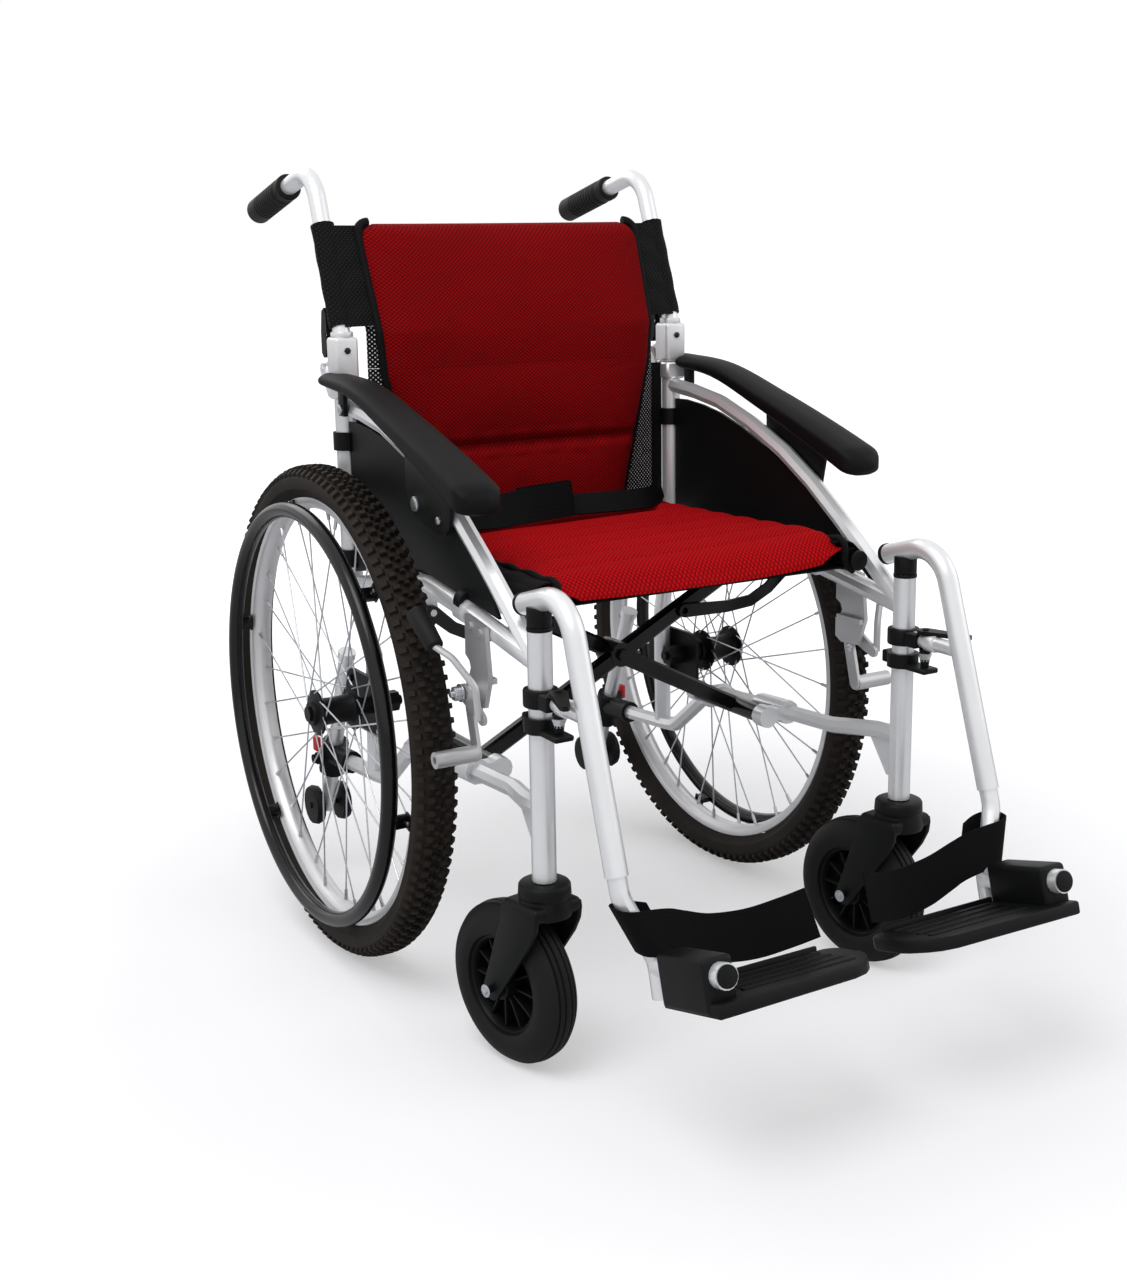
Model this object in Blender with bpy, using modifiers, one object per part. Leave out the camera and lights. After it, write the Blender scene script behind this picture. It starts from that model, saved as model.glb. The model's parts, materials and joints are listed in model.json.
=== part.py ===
"""All-terrain folding wheelchair, metres, +Z up, the user faces -Y and sits at the middle of X."""

import math

import bmesh
import bpy
from mathutils import Matrix, Quaternion, Vector

for old in list(bpy.data.objects):
    bpy.data.objects.remove(old, do_unlink=True)

# Driving dimensions. Widths are measured out from the middle plane, Y from the rear axle.
GAP = 0.0003
WELD = 0.00005

WHEEL_RADIUS = 0.300
TYRE_WIDTH = 0.051
WHEEL_X = 0.2852
TYRE_DEPTH = 0.0387
RIM_RADIUS = WHEEL_RADIUS - TYRE_DEPTH
RIM_HALF = 0.0137
RIM_DEPTH = 0.0145
LUG_DEPTH = 0.0035
HANDRIM_RADIUS = RIM_RADIUS - 0.0128
HANDRIM_TUBE = 0.0094
HANDRIM_OFFSET = 0.0373
HANDRIM_TABS = 6
SPOKES_PER_FLANGE = 16
SPOKE_RADIUS = 0.0010
HUB_INNER = 0.0205
FLANGE_RADIUS = 0.028
AXLE_RADIUS = 0.006

FRAME_X = 0.2355
POST_RADIUS = 0.0127
RAIL_RADIUS = 0.0110
ARC_RADIUS = 0.0098
LOWER_X = 0.2165
LOWER_RADIUS = 0.0100
BACK_POST_Y = 0.0405
FRONT_POST_Y = -0.432
FRONT_POST_TOP = 0.481
CASTER_RADIUS = 0.0885
FORK_TOP = 2 * CASTER_RADIUS + 0.0382
FRONT_POST_FOOT = FORK_TOP + 0.0013

BACK_FOLD_Y = 0.076
BACK_FOLD_Z = 0.7065
BACK_SPLIT_Z = 0.695
BACK_TUBE_RADIUS = 0.0108
HANDLE_REACH = 0.311
GRIP_RADIUS = 0.0165
GRIP_LENGTH = 0.122

BRACE_X = 0.186
BRACE_FOOT_Z = 0.276
BRACE_CENTRE_Z = 0.373
BRACE_WIDTH = 0.020
BRACE_DEPTH = 0.014
BRACE_FRONT_Y = -0.2005
BRACE_REAR_Y = -0.1785
PIVOT_TUBE_RADIUS = 0.0110
SEAT_TUBE_X = 0.205
SEAT_TUBE_Z = 0.492
SEAT_TUBE_RADIUS = 0.0110
LINK_OUTER_Z = 0.450
LINK_INNER_X = 0.087
LINK_INNER_Z = 0.416

CASTER_HALF = 0.0236
CASTER_TRAIL = 0.0525
CASTER_SWIVEL = {"right": 11.1, "left": 7.4}
STEM_RADIUS = 0.0070

ROLLER_RADIUS = 0.009
ROLLER_REACH = WHEEL_RADIUS + ROLLER_RADIUS + 0.019611
ROLLER_RISE = math.radians(4.7128)
ROLLER_Y = -ROLLER_REACH * math.cos(ROLLER_RISE)
ROLLER_Z = WHEEL_RADIUS + ROLLER_REACH * math.sin(ROLLER_RISE)
BRAKE_Y = ROLLER_Y + 0.0165
BRAKE_Z = 0.390

HANGER_RADIUS = 0.0115
LEG_RADIUS = 0.0097
LEG_TRAVEL = 0.080
HANGER_END = (-0.572, 0.267)
HANGER_LEAN = 18.2
FOOT_X = 0.207
FOOT_Y = -0.709
FOOT_Z = 0.214
FOOT_TILT = 16.0
FOOT_BAR_RADIUS = 0.0123
FOOT_PLATE_REACH = 0.185
FOOT_PLATE_DROP = 0.036
LATCH_Y = -0.468

ANTI_TIP_TOP = (0.119, 0.337)
ANTI_TIP_FOOT = (0.215, 0.099)
ANTI_TIP_RADIUS = 0.0098
ANTI_TIP_WHEEL = 0.0273

# The chair's front end is the footplates' lower front corner, its rear end the push grips.
FOOT_FRONT = -FOOT_Y + FOOT_PLATE_DROP * math.sin(math.radians(FOOT_TILT)) + 0.0019
GRIP_REAR = HANDLE_REACH + 0.0026
AXLE_Y = (FOOT_FRONT - GRIP_REAR) / 2

PARTS = bpy.data.collections.new("all_terrain_wheelchair")
CUTTERS = bpy.data.collections.new("cutters")
for collection in (PARTS, CUTTERS):
    bpy.context.scene.collection.children.link(collection)


# Materials
def finish(name, colour, roughness, metallic=0.0):
    """A plain Principled material from a hex colour."""
    material = bpy.data.materials.new(name)
    material.use_nodes = True
    shader = material.node_tree.nodes["Principled BSDF"]
    channels = [int(colour[i:i + 2], 16) / 255 for i in (0, 2, 4)]
    linear = [c / 12.92 if c <= 0.04045 else ((c + 0.055) / 1.055) ** 2.4 for c in channels]
    shader.inputs["Base Color"].default_value = (*linear, 1.0)
    shader.inputs["Roughness"].default_value = roughness
    shader.inputs["Metallic"].default_value = metallic
    return material


SILVER = finish("silver_paint", "c9ccd1", 0.35, 0.6)
ALLOY = finish("bare_alloy", "b4b6b9", 0.30, 0.9)
BLACK_PAINT = finish("black_paint", "1d1e20", 0.40, 0.3)
BLACK_PLASTIC = finish("black_plastic", "17181a", 0.50)
RUBBER = finish("rubber", "1b1b1c", 0.85)
STEEL = finish("bright_steel", "c2c4c8", 0.22, 1.0)
RED_MESH = finish("red_mesh_fabric", "a3121a", 0.90)
BLACK_FABRIC = finish("black_fabric", "101012", 0.92)


# Shape helpers. Each returns a closed mesh that is kept with the cutters until it is used.
def keep(bm, name="shape"):
    """Store a bmesh as an object among the cutters."""
    mesh = bpy.data.meshes.new(name)
    bm.to_mesh(mesh)
    bm.free()
    obj = bpy.data.objects.new(name, mesh)
    obj.hide_render = True
    obj.display_type = "WIRE"
    CUTTERS.objects.link(obj)
    return obj


def solidified(obj, matrix=None):
    """Turn a curve or a modified object into a plain closed mesh."""
    bpy.context.view_layer.update()
    graph = bpy.context.evaluated_depsgraph_get()
    mesh = bpy.data.meshes.new_from_object(obj.evaluated_get(graph))
    bm = bmesh.new()
    bm.from_mesh(mesh)
    bmesh.ops.remove_doubles(bm, verts=bm.verts, dist=WELD)
    bmesh.ops.recalc_face_normals(bm, faces=bm.faces)
    if matrix is not None:
        bm.transform(matrix)
    bpy.data.objects.remove(obj, do_unlink=True)
    return keep(bm)


def at(side, w, y, z):
    """A point given by its distance from the middle plane, from the rear axle and from the floor."""
    return Vector((side * w, y + AXLE_Y, z))


def rod(start, end, radius, sides=12, end_radius=None):
    """A cylinder, or a cone where end_radius is given, between two points."""
    bm = bmesh.new()
    length = (end - start).length
    far = radius if end_radius is None else end_radius
    bmesh.ops.create_cone(bm, cap_ends=True, segments=sides, radius1=radius, radius2=far, depth=length)
    turn = (end - start).to_track_quat("Z", "X").to_matrix().to_4x4()
    bm.transform(Matrix.Translation((start + end) / 2) @ turn)
    return keep(bm)


def block(low, high, bevel=0.0, matrix=None):
    """A box between two corners, with its edges bevelled."""
    bm = bmesh.new()
    bmesh.ops.create_cube(bm, size=1.0)
    size = Vector([abs(high[i] - low[i]) for i in range(3)])
    middle = Vector([(high[i] + low[i]) / 2 for i in range(3)])
    bm.transform(Matrix.Translation(middle) @ Matrix.Diagonal((*size, 1.0)))
    if bevel:
        bmesh.ops.bevel(bm, geom=bm.edges[:], offset=bevel, segments=1, affect="EDGES", profile=0.5)
    if matrix is not None:
        bm.transform(matrix)
    return keep(bm)


def side_block(side, w, y, z, bevel=0.0):
    """A box given by its ranges across, along and up."""
    return block(at(side, w[0], y[0], z[0]), at(side, w[1], y[1], z[1]), bevel)


def side_rod(side, start, end, radius, sides=12):
    """A cylinder between two points given as across, along and up."""
    return rod(at(side, *start), at(side, *end), radius, sides)


def rounded(points, radius, steps=3, closed=False, smallest=1.0):
    """Round the corners of an outline or a path with arcs, save bends under the smallest angle."""
    corners = [Vector(p) for p in points]
    result = []
    for i, corner in enumerate(corners):
        if not closed and i in (0, len(corners) - 1):
            result.append(corner)
            continue
        to_last = corners[i - 1] - corner
        to_next = corners[(i + 1) % len(corners)] - corner
        half = to_last.angle(to_next) / 2
        if math.pi - 2 * half < math.radians(smallest):
            result.append(corner)
            continue
        cut = min(radius / math.tan(half), 0.48 * to_last.length, 0.48 * to_next.length)
        arc_radius = cut * math.tan(half)
        bisector = (to_last.normalized() + to_next.normalized()).normalized()
        centre = corner + bisector * (arc_radius / math.sin(half))
        start = corner + to_last.normalized() * cut - centre
        end = corner + to_next.normalized() * cut - centre
        for step in range(steps + 1):
            share = step / steps
            sweep = math.pi - 2 * half
            near = math.sin((1 - share) * sweep) / math.sin(sweep)
            far = math.sin(share * sweep) / math.sin(sweep)
            result.append(centre + start * near + end * far)
    return result


def smooth(points, steps):
    """A smooth curve through a few points (Catmull-Rom)."""
    knots = [Vector(p) for p in points]
    knots = [2 * knots[0] - knots[1]] + knots + [2 * knots[-1] - knots[-2]]
    result = []
    for i in range(1, len(knots) - 2):
        a, b, c, d = knots[i - 1:i + 3]
        for step in range(steps):
            t = step / steps
            result.append(0.5 * (2 * b + (c - a) * t + (2 * a - 5 * b + 4 * c - d) * t * t
                                 + (3 * b - a - 3 * c + d) * t ** 3))
    result.append(knots[-2])
    return result


def arc(y, z, radius, first, last, steps):
    """Points on an arc in a flat outline, angles in degrees."""
    angles = [math.radians(first + (last - first) * i / steps) for i in range(steps + 1)]
    return [(y + radius * math.cos(a), z + radius * math.sin(a)) for a in angles]


def pipe(points, radius, sides=12):
    """A round tube along a path, with filled ends."""
    curve = bpy.data.curves.new("path", "CURVE")
    curve.dimensions = "3D"
    curve.bevel_depth = radius
    curve.bevel_resolution = sides // 2 - 2
    curve.use_fill_caps = True
    spline = curve.splines.new("POLY")
    spline.points.add(len(points) - 1)
    for knot, point in zip(spline.points, points):
        knot.co = (*point, 1.0)
    obj = bpy.data.objects.new("path", curve)
    CUTTERS.objects.link(obj)
    return solidified(obj)


def sheet(outline, thickness, matrix, holes=()):
    """A flat plate cut to an outline with holes, then placed by a matrix."""
    curve = bpy.data.curves.new("outline", "CURVE")
    curve.dimensions = "2D"
    curve.fill_mode = "BOTH"
    curve.extrude = thickness / 2
    for loop in (outline, *holes):
        spline = curve.splines.new("POLY")
        spline.points.add(len(loop) - 1)
        spline.use_cyclic_u = True
        for knot, point in zip(spline.points, loop):
            knot.co = (point[0], point[1], 0.0, 1.0)
    obj = bpy.data.objects.new("outline", curve)
    CUTTERS.objects.link(obj)
    return solidified(obj, matrix)


def side_sheet(side, w, outline, holes=()):
    """A plate that stands along the chair: its outline is in Y and Z, w is its range across."""
    axes = Matrix(((0, 0, 1), (1, 0, 0), (0, 1, 0))).to_4x4()
    place = Matrix.Translation((side * (w[0] + w[1]) / 2, AXLE_Y, 0)) @ axes
    return sheet(outline, abs(w[1] - w[0]), place, holes)


def cross_sheet(side, y, outline, holes=()):
    """A plate that stands across the chair: its outline is in distance across and Z, y is its range."""
    axes = Matrix(((side, 0, 0), (0, 0, -side), (0, 1, 0))).to_4x4()
    place = Matrix.Translation((0, AXLE_Y + (y[0] + y[1]) / 2, 0)) @ axes
    return sheet(outline, abs(y[1] - y[0]), place, holes)


def turned(profile, matrix, steps, ring=False):
    """A turned shape: a profile of radius and height swept round Z, then placed by a matrix."""
    bm = bmesh.new()
    knots = [bm.verts.new((radius, 0.0, height)) for radius, height in profile]
    for i in range(len(knots) - 1):
        bm.edges.new((knots[i], knots[i + 1]))
    if ring:
        bm.edges.new((knots[-1], knots[0]))
    obj = keep(bm)
    screw = obj.modifiers.new("turn", "SCREW")
    screw.axis = "Z"
    screw.steps = steps
    screw.render_steps = steps
    screw.use_merge_vertices = True
    screw.merge_threshold = WELD
    return solidified(obj, matrix)


def cross_axis(side, w, y, z):
    """A matrix whose Z runs outboard along X, for wheels and hubs."""
    turn = Vector((side, 0, 0)).to_track_quat("Z", "Y").to_matrix().to_4x4()
    return Matrix.Translation(at(side, w, y, z)) @ turn


def pad(columns, rows, place):
    """A soft closed form: a grid with two faces, each point placed by a rule."""
    bm = bmesh.new()
    bmesh.ops.create_grid(bm, x_segments=columns, y_segments=rows, size=1.0)
    obj = keep(bm)
    solid = obj.modifiers.new("thickness", "SOLIDIFY")
    solid.thickness = 0.2
    solid.offset = 0.0
    body = solidified(obj)
    for vertex in body.data.vertices:
        face = 1 if vertex.co.z > 0 else -1
        vertex.co = place(vertex.co.x, vertex.co.y, face)
    bm = bmesh.new()
    bm.from_mesh(body.data)
    bmesh.ops.recalc_face_normals(bm, faces=bm.faces)
    bm.to_mesh(body.data)
    bm.free()
    body.data.update()
    return body


def carved(shape, cut):
    """Cut one shape out of another and keep the result as a plain mesh."""
    hollow = shape.modifiers.new("carve", "BOOLEAN")
    hollow.operation = "DIFFERENCE"
    hollow.solver = "MANIFOLD"
    hollow.object = cut
    return solidified(shape)


def fuse(name, material, shapes, cuts=(), pivot=None):
    """Join shapes into one named solid, cut it, and set its origin on its joint's axis."""
    body = shapes[0]
    CUTTERS.objects.unlink(body)
    PARTS.objects.link(body)
    body.hide_render = False
    body.display_type = "TEXTURED"
    body.name = name
    body.data.name = name
    for operation, others in (("UNION", shapes[1:]), ("DIFFERENCE", cuts)):
        for i, other in enumerate(others):
            other.name = f"{name}_{operation.lower()}_{i + 1}"
            boolean = body.modifiers.new(other.name, "BOOLEAN")
            boolean.operation = operation
            boolean.solver = "EXACT"
            boolean.object = other
    body.data.materials.append(material)
    if pivot is not None:
        body.data.transform(Matrix.Translation(-pivot))
        body.location = pivot
    body.data.shade_smooth()
    body.data.set_sharp_from_angle(angle=math.radians(38))
    return body


# Side frames
RAIL_PATH = [(-0.428, 0.4435), (-0.272, 0.4690), (-0.185, 0.4795), (-0.150, 0.4790), (BACK_POST_Y + 0.004, 0.4430)]
REAR_POST = [(0.2150, 0.0325, 0.352), (0.2180, 0.0355, 0.200)]
LOWER_PATH = [(0.160, 0.186), (0.032, 0.196), (0.000, 0.200), (-0.070, 0.256), (-0.115, 0.270), (-0.335, 0.283)]
ARC_KNOTS = [(BACK_POST_Y, 0.664), (-0.077, 0.648), (-0.210, 0.597), (-0.317, 0.529), (-0.424, 0.446)]
SADDLES_Y = (-0.272, -0.060)
BRACE_EYE_FRONT = (-0.250, -0.232)
BRACE_EYE_REAR = (-0.104, -0.088)
EYE_RADIUS = 0.0135
SLEEVE_RADIUS = 0.0150
PIN_RADIUS = 0.0050
PIN_DEPTH = 0.008


def rail_height(y):
    """Height of the seat rail's centre line at a distance from the axle."""
    for (y0, z0), (y1, z1) in zip(RAIL_PATH, RAIL_PATH[1:]):
        if y0 <= y <= y1:
            return z0 + (z1 - z0) * (y - y0) / (y1 - y0)
    return RAIL_PATH[-1][1]


def lower_height(y):
    """Height of the lower tube's centre line at a distance from the axle."""
    for (y0, z0), (y1, z1) in zip(LOWER_PATH, LOWER_PATH[1:]):
        if y1 <= y:
            return z0 + (z1 - z0) * (y - y0) / (y1 - y0)
    return LOWER_PATH[-1][1]


def frame_tubes(side):
    """Seat rail with its rear post, back post, front post, arm arc and lower tube."""
    rail = [at(side, FRAME_X, y, z) for y, z in RAIL_PATH] + [at(side, *p) for p in REAR_POST]
    rail_tube = pipe(rounded(rail, 0.030, 3, smallest=20), RAIL_RADIUS, 10)
    back_post = side_rod(side, (FRAME_X, BACK_POST_Y, 0.440), (FRAME_X, BACK_POST_Y, BACK_SPLIT_Z - 0.006), POST_RADIUS)
    front_post = side_rod(side, (FRAME_X, FRONT_POST_Y, FRONT_POST_FOOT), (FRAME_X, FRONT_POST_Y, FRONT_POST_TOP),
                          POST_RADIUS, 12)
    arch = pipe(smooth([at(side, FRAME_X, y, z) for y, z in ARC_KNOTS], 2), ARC_RADIUS, 8)
    lower = [at(side, LOWER_X, y, z) for y, z in LOWER_PATH]
    lower += [at(side, FRAME_X - 0.002, -0.395, 0.290), at(side, FRAME_X, FRONT_POST_Y, 0.292)]
    lower_tube = pipe(rounded(lower, 0.035, 2, smallest=25), LOWER_RADIUS, 8)
    return [rail_tube, back_post, front_post, arch, lower_tube]


def brace_eye(side, y, sleeve):
    """A cast bracket clamped round the lower tube, with the eye that carries the cross brace."""
    middle = sum(sleeve) / 2
    height = lower_height(middle)
    tube_at = [at(side, LOWER_X, edge, lower_height(edge)) for edge in sleeve]
    collar = rod(tube_at[0], tube_at[1], SLEEVE_RADIUS, 10)
    arm = side_block(side, (BRACE_X + 0.003, LOWER_X), (y[0] + GAP, y[1] - GAP), (height - 0.006, height + 0.009))
    ring = side_rod(side, (BRACE_X, y[0], BRACE_FOOT_Z), (BRACE_X, y[1], BRACE_FOOT_Z), EYE_RADIUS, 12)
    return [collar, arm, ring]


def hinge_ear(side, w):
    """A lug behind the back post's casting that carries the back's folding pin."""
    outline = [(0.0450, 0.6740), (0.0600, 0.6740)]
    outline += arc(BACK_FOLD_Y, BACK_FOLD_Z, 0.0075, -40, 160, 6)
    outline += [(0.0590, 0.6925), (0.0450, 0.6925)]
    return side_sheet(side, w, outline)


def link_tab_y(side):
    """The stay on the left lies in front of both braces, the one on the right between them."""
    front = BRACE_FRONT_Y if side > 0 else BRACE_REAR_Y
    face = front - BRACE_DEPTH / 2
    return face + 0.0015


def make_frame(name, side):
    shapes = frame_tubes(side)
    shapes.append(side_block(side, (0.2205, 0.2505), (0.0255, 0.0560), (0.6720, BACK_SPLIT_Z), 0.003))
    shapes.append(hinge_ear(side, (0.2235, 0.2283)))
    shapes.append(hinge_ear(side, (0.2437, 0.2485)))
    shapes.append(side_rod(side, (0.2225, BACK_FOLD_Y, BACK_FOLD_Z), (0.2495, BACK_FOLD_Y, BACK_FOLD_Z), 0.003, 10))
    shapes += brace_eye(side, BRACE_EYE_FRONT, (-0.250, -0.192))
    shapes += brace_eye(side, BRACE_EYE_REAR, (-0.114, -0.080))
    front_pin = BRACE_EYE_FRONT[1]
    rear_pin = BRACE_EYE_REAR[0]
    shapes.append(side_rod(side, (BRACE_X, front_pin - 0.004, BRACE_FOOT_Z),
                           (BRACE_X, front_pin + PIN_DEPTH, BRACE_FOOT_Z), PIN_RADIUS, 10))
    shapes.append(side_rod(side, (BRACE_X, rear_pin - PIN_DEPTH, BRACE_FOOT_Z),
                           (BRACE_X, rear_pin + 0.004, BRACE_FOOT_Z), PIN_RADIUS, 10))
    for y in SADDLES_Y:
        height = rail_height(y)
        ends = [at(side, FRAME_X, y + step, rail_height(y + step)) for step in (-0.009, 0.009)]
        shapes.append(rod(ends[0], ends[1], RAIL_RADIUS + 0.003, 10))
        top = SEAT_TUBE_Z - SEAT_TUBE_RADIUS - 0.0032
        shapes.append(side_block(side, (0.196, 0.2300), (y - 0.0085, y + 0.0085), (height - 0.008, top)))
    tab = link_tab_y(side)
    shapes.append(side_block(side, (0.2275, 0.2435), (tab, tab + 0.004), (0.4395, 0.4720)))
    shapes.append(side_rod(side, (FRAME_X, tab + 0.002, LINK_OUTER_Z), (FRAME_X, tab - 0.0065, LINK_OUTER_Z), 0.004, 10))
    gusset = [(-0.4230, 0.2400), (-0.4130, 0.2400), (-0.3830, 0.2810), (-0.3830, 0.2870), (-0.4230, 0.2870)]
    shapes.append(side_sheet(side, (FRAME_X - 0.0035, FRAME_X - 0.0005), gusset))
    top_bore = side_rod(side, (FRAME_X, FRONT_POST_Y, 0.4450), (FRAME_X, FRONT_POST_Y, 0.5000), 0.0065)
    foot_bore = side_rod(side, (FRAME_X, FRONT_POST_Y, FORK_TOP - 0.0152), (FRAME_X, FRONT_POST_Y, FORK_TOP + 0.0368),
                         STEM_RADIUS + 1.5 * GAP)
    return fuse(name, SILVER, shapes, [top_bore, foot_bore])


# Folding back: upper tubes, grips and release levers
HANDLE_CORNER = (0.1120, 0.9450)
LEVER_PIN_Z = 0.7478
HANDLE_SLOPE = math.atan2(HANDLE_CORNER[1] - 0.899, HANDLE_REACH - HANDLE_CORNER[0])


def handle_point(y):
    """Height of the push handle's straight end at a distance from the axle."""
    return HANDLE_CORNER[1] - (y - HANDLE_CORNER[0]) * math.tan(HANDLE_SLOPE)


def make_back_tube(name, side):
    end_y = HANDLE_REACH - 0.012
    path = [(BACK_POST_Y, 0.7100), (BACK_POST_Y, 0.7500), HANDLE_CORNER, (end_y, handle_point(end_y))]
    tube = pipe(rounded([at(side, FRAME_X, y, z) for y, z in path], 0.045, 3), BACK_TUBE_RADIUS)
    casting = side_block(side, (0.2205, 0.2505), (0.0255, 0.0560), (BACK_SPLIT_Z + 0.0005, 0.7460), 0.003)
    knuckle = [(0.0480, 0.7000)] + arc(BACK_FOLD_Y, BACK_FOLD_Z, 0.0075, -120, 60, 6) + [(0.0480, 0.7260)]
    ear = side_sheet(side, (0.2288, 0.2432), knuckle)
    lug = side_block(side, (0.2331, 0.2389), (0.0460, 0.0700), (LEVER_PIN_Z - 0.0063, LEVER_PIN_Z + 0.0050))
    lever_pin = side_rod(side, (0.2275, 0.0660, LEVER_PIN_Z), (0.2445, 0.0660, LEVER_PIN_Z), 0.0024, 8)
    bore = side_rod(side, (0.2200, BACK_FOLD_Y, BACK_FOLD_Z), (0.2520, BACK_FOLD_Y, BACK_FOLD_Z), 0.003 + GAP, 10)
    pivot = at(side, FRAME_X, BACK_FOLD_Y, BACK_FOLD_Z)
    return fuse(name, SILVER, [tube, casting, ear, lug, lever_pin], [bore], pivot)


def make_push_grip(name, side):
    end = at(side, FRAME_X, HANDLE_REACH, handle_point(HANDLE_REACH))
    front_y = HANDLE_REACH - GRIP_LENGTH * math.cos(HANDLE_SLOPE)
    start = at(side, FRAME_X, front_y, handle_point(front_y))
    turn = (end - start).to_track_quat("Z", "X").to_matrix().to_4x4()
    r = GRIP_RADIUS
    bore = BACK_TUBE_RADIUS + 2 * GAP
    tube_end = GRIP_LENGTH - 0.012 / math.cos(HANDLE_SLOPE)
    profile = [(0.0, tube_end + 0.0006), (bore, tube_end + 0.0006), (bore, 0.0), (r, 0.0), (r, 0.011),
               (r - 0.0015, 0.013), (r - 0.0015, 0.020), (r, 0.023), (r, GRIP_LENGTH - 0.006),
               (r - 0.005, GRIP_LENGTH), (0.0, GRIP_LENGTH)]
    grip = turned(profile, Matrix.Translation(start) @ turn, 12)
    return fuse(name, RUBBER, [grip])


def make_back_latch(name, side):
    outline = [(0.0645, 0.7720), (0.0700, 0.7800), (0.0775, 0.7760), (0.0815, 0.7520), (0.0815, 0.7260),
               (0.0755, 0.7202), (0.0700, 0.7216), (0.0660, 0.7300), (0.0630, 0.7480)]
    lever = side_sheet(side, (0.2262, 0.2458), outline)
    slot = side_block(side, (0.2326, 0.2394), (0.0600, 0.0735), (LEVER_PIN_Z - 0.0110, LEVER_PIN_Z + 0.0110))
    hole = side_rod(side, (0.2200, 0.0660, LEVER_PIN_Z), (0.2520, 0.0660, LEVER_PIN_Z), 0.0028, 8)
    return fuse(name, BLACK_PLASTIC, [lever], [slot, hole], at(side, FRAME_X, 0.0660, LEVER_PIN_Z))


# Cross brace
BRACE_LENGTH = math.hypot(BRACE_X, BRACE_CENTRE_Z - BRACE_FOOT_Z)
BRACE_RISE = math.atan2(BRACE_CENTRE_Z - BRACE_FOOT_Z, BRACE_X)
PIVOT_TUBE_Y = (BRACE_EYE_FRONT[1] + GAP, BRACE_EYE_REAR[0] - GAP)
BOSS_RADIUS = 0.0150
BOLT_RADIUS = 0.0040


def make_brace_bar(name, foot, y):
    """One bar of the X: it stands on its pivot tube at one side and carries the other side's seat tube."""
    top = -foot
    start = at(foot, BRACE_X, y, BRACE_FOOT_Z)
    end = at(top, SEAT_TUBE_X - 0.0020, y, BRACE_CENTRE_Z + (SEAT_TUBE_X - 0.002) * math.tan(BRACE_RISE))
    along = (end - start).normalized()
    across = Vector((0, 1, 0))
    up = along.cross(across)
    place = Matrix.Translation((start + end) / 2) @ Matrix((along, across, up)).transposed().to_4x4()
    half = (end - start).length / 2
    size = Vector((half, BRACE_DEPTH / 2, BRACE_WIDTH / 2))
    bar = block(-size, size, 0.003, place)
    meet = (BRACE_FRONT_Y + BRACE_REAR_Y) / 2
    boss_y = (y - 0.008, meet - 0.0002) if y < meet else (meet + 0.0002, y + 0.008)
    boss = rod(at(1, 0, boss_y[0], BRACE_CENTRE_Z), at(1, 0, boss_y[1], BRACE_CENTRE_Z), BOSS_RADIUS, 16)
    pivot_tube = side_rod(foot, (BRACE_X, PIVOT_TUBE_Y[0], BRACE_FOOT_Z), (BRACE_X, PIVOT_TUBE_Y[1], BRACE_FOOT_Z),
                          PIVOT_TUBE_RADIUS, 14)
    seat_tube = side_rod(top, (SEAT_TUBE_X, -0.386, SEAT_TUBE_Z), (SEAT_TUBE_X, 0.014, SEAT_TUBE_Z),
                         SEAT_TUBE_RADIUS, 14)
    cuts = [rod(at(1, 0, y - 0.02, BRACE_CENTRE_Z), at(1, 0, y + 0.02, BRACE_CENTRE_Z), BOLT_RADIUS + GAP)]
    for edge, step in ((PIVOT_TUBE_Y[0], 1), (PIVOT_TUBE_Y[1], -1)):
        cuts.append(side_rod(foot, (BRACE_X, edge - 0.004 * step, BRACE_FOOT_Z),
                             (BRACE_X, edge + 0.011 * step, BRACE_FOOT_Z), PIN_RADIUS + GAP, 12))
    pivot = start if foot < 0 else at(1, 0, y, BRACE_CENTRE_Z)
    return fuse(name, BLACK_PAINT, [bar, boss, pivot_tube, seat_tube], cuts, pivot)


def make_brace_bolt():
    front = BRACE_FRONT_Y - 0.008 - GAP
    rear = BRACE_REAR_Y + 0.008 + GAP
    shank = rod(at(1, 0, front - 0.002, BRACE_CENTRE_Z), at(1, 0, rear + 0.002, BRACE_CENTRE_Z), BOLT_RADIUS)
    head = rod(at(1, 0, front - 0.005, BRACE_CENTRE_Z), at(1, 0, front, BRACE_CENTRE_Z), 0.0075, 6)
    nut = rod(at(1, 0, rear, BRACE_CENTRE_Z), at(1, 0, rear + 0.006, BRACE_CENTRE_Z), 0.0075, 6)
    return fuse("brace_bolt", STEEL, [shank, head, nut], pivot=at(1, 0, BRACE_FRONT_Y, BRACE_CENTRE_Z))


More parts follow.
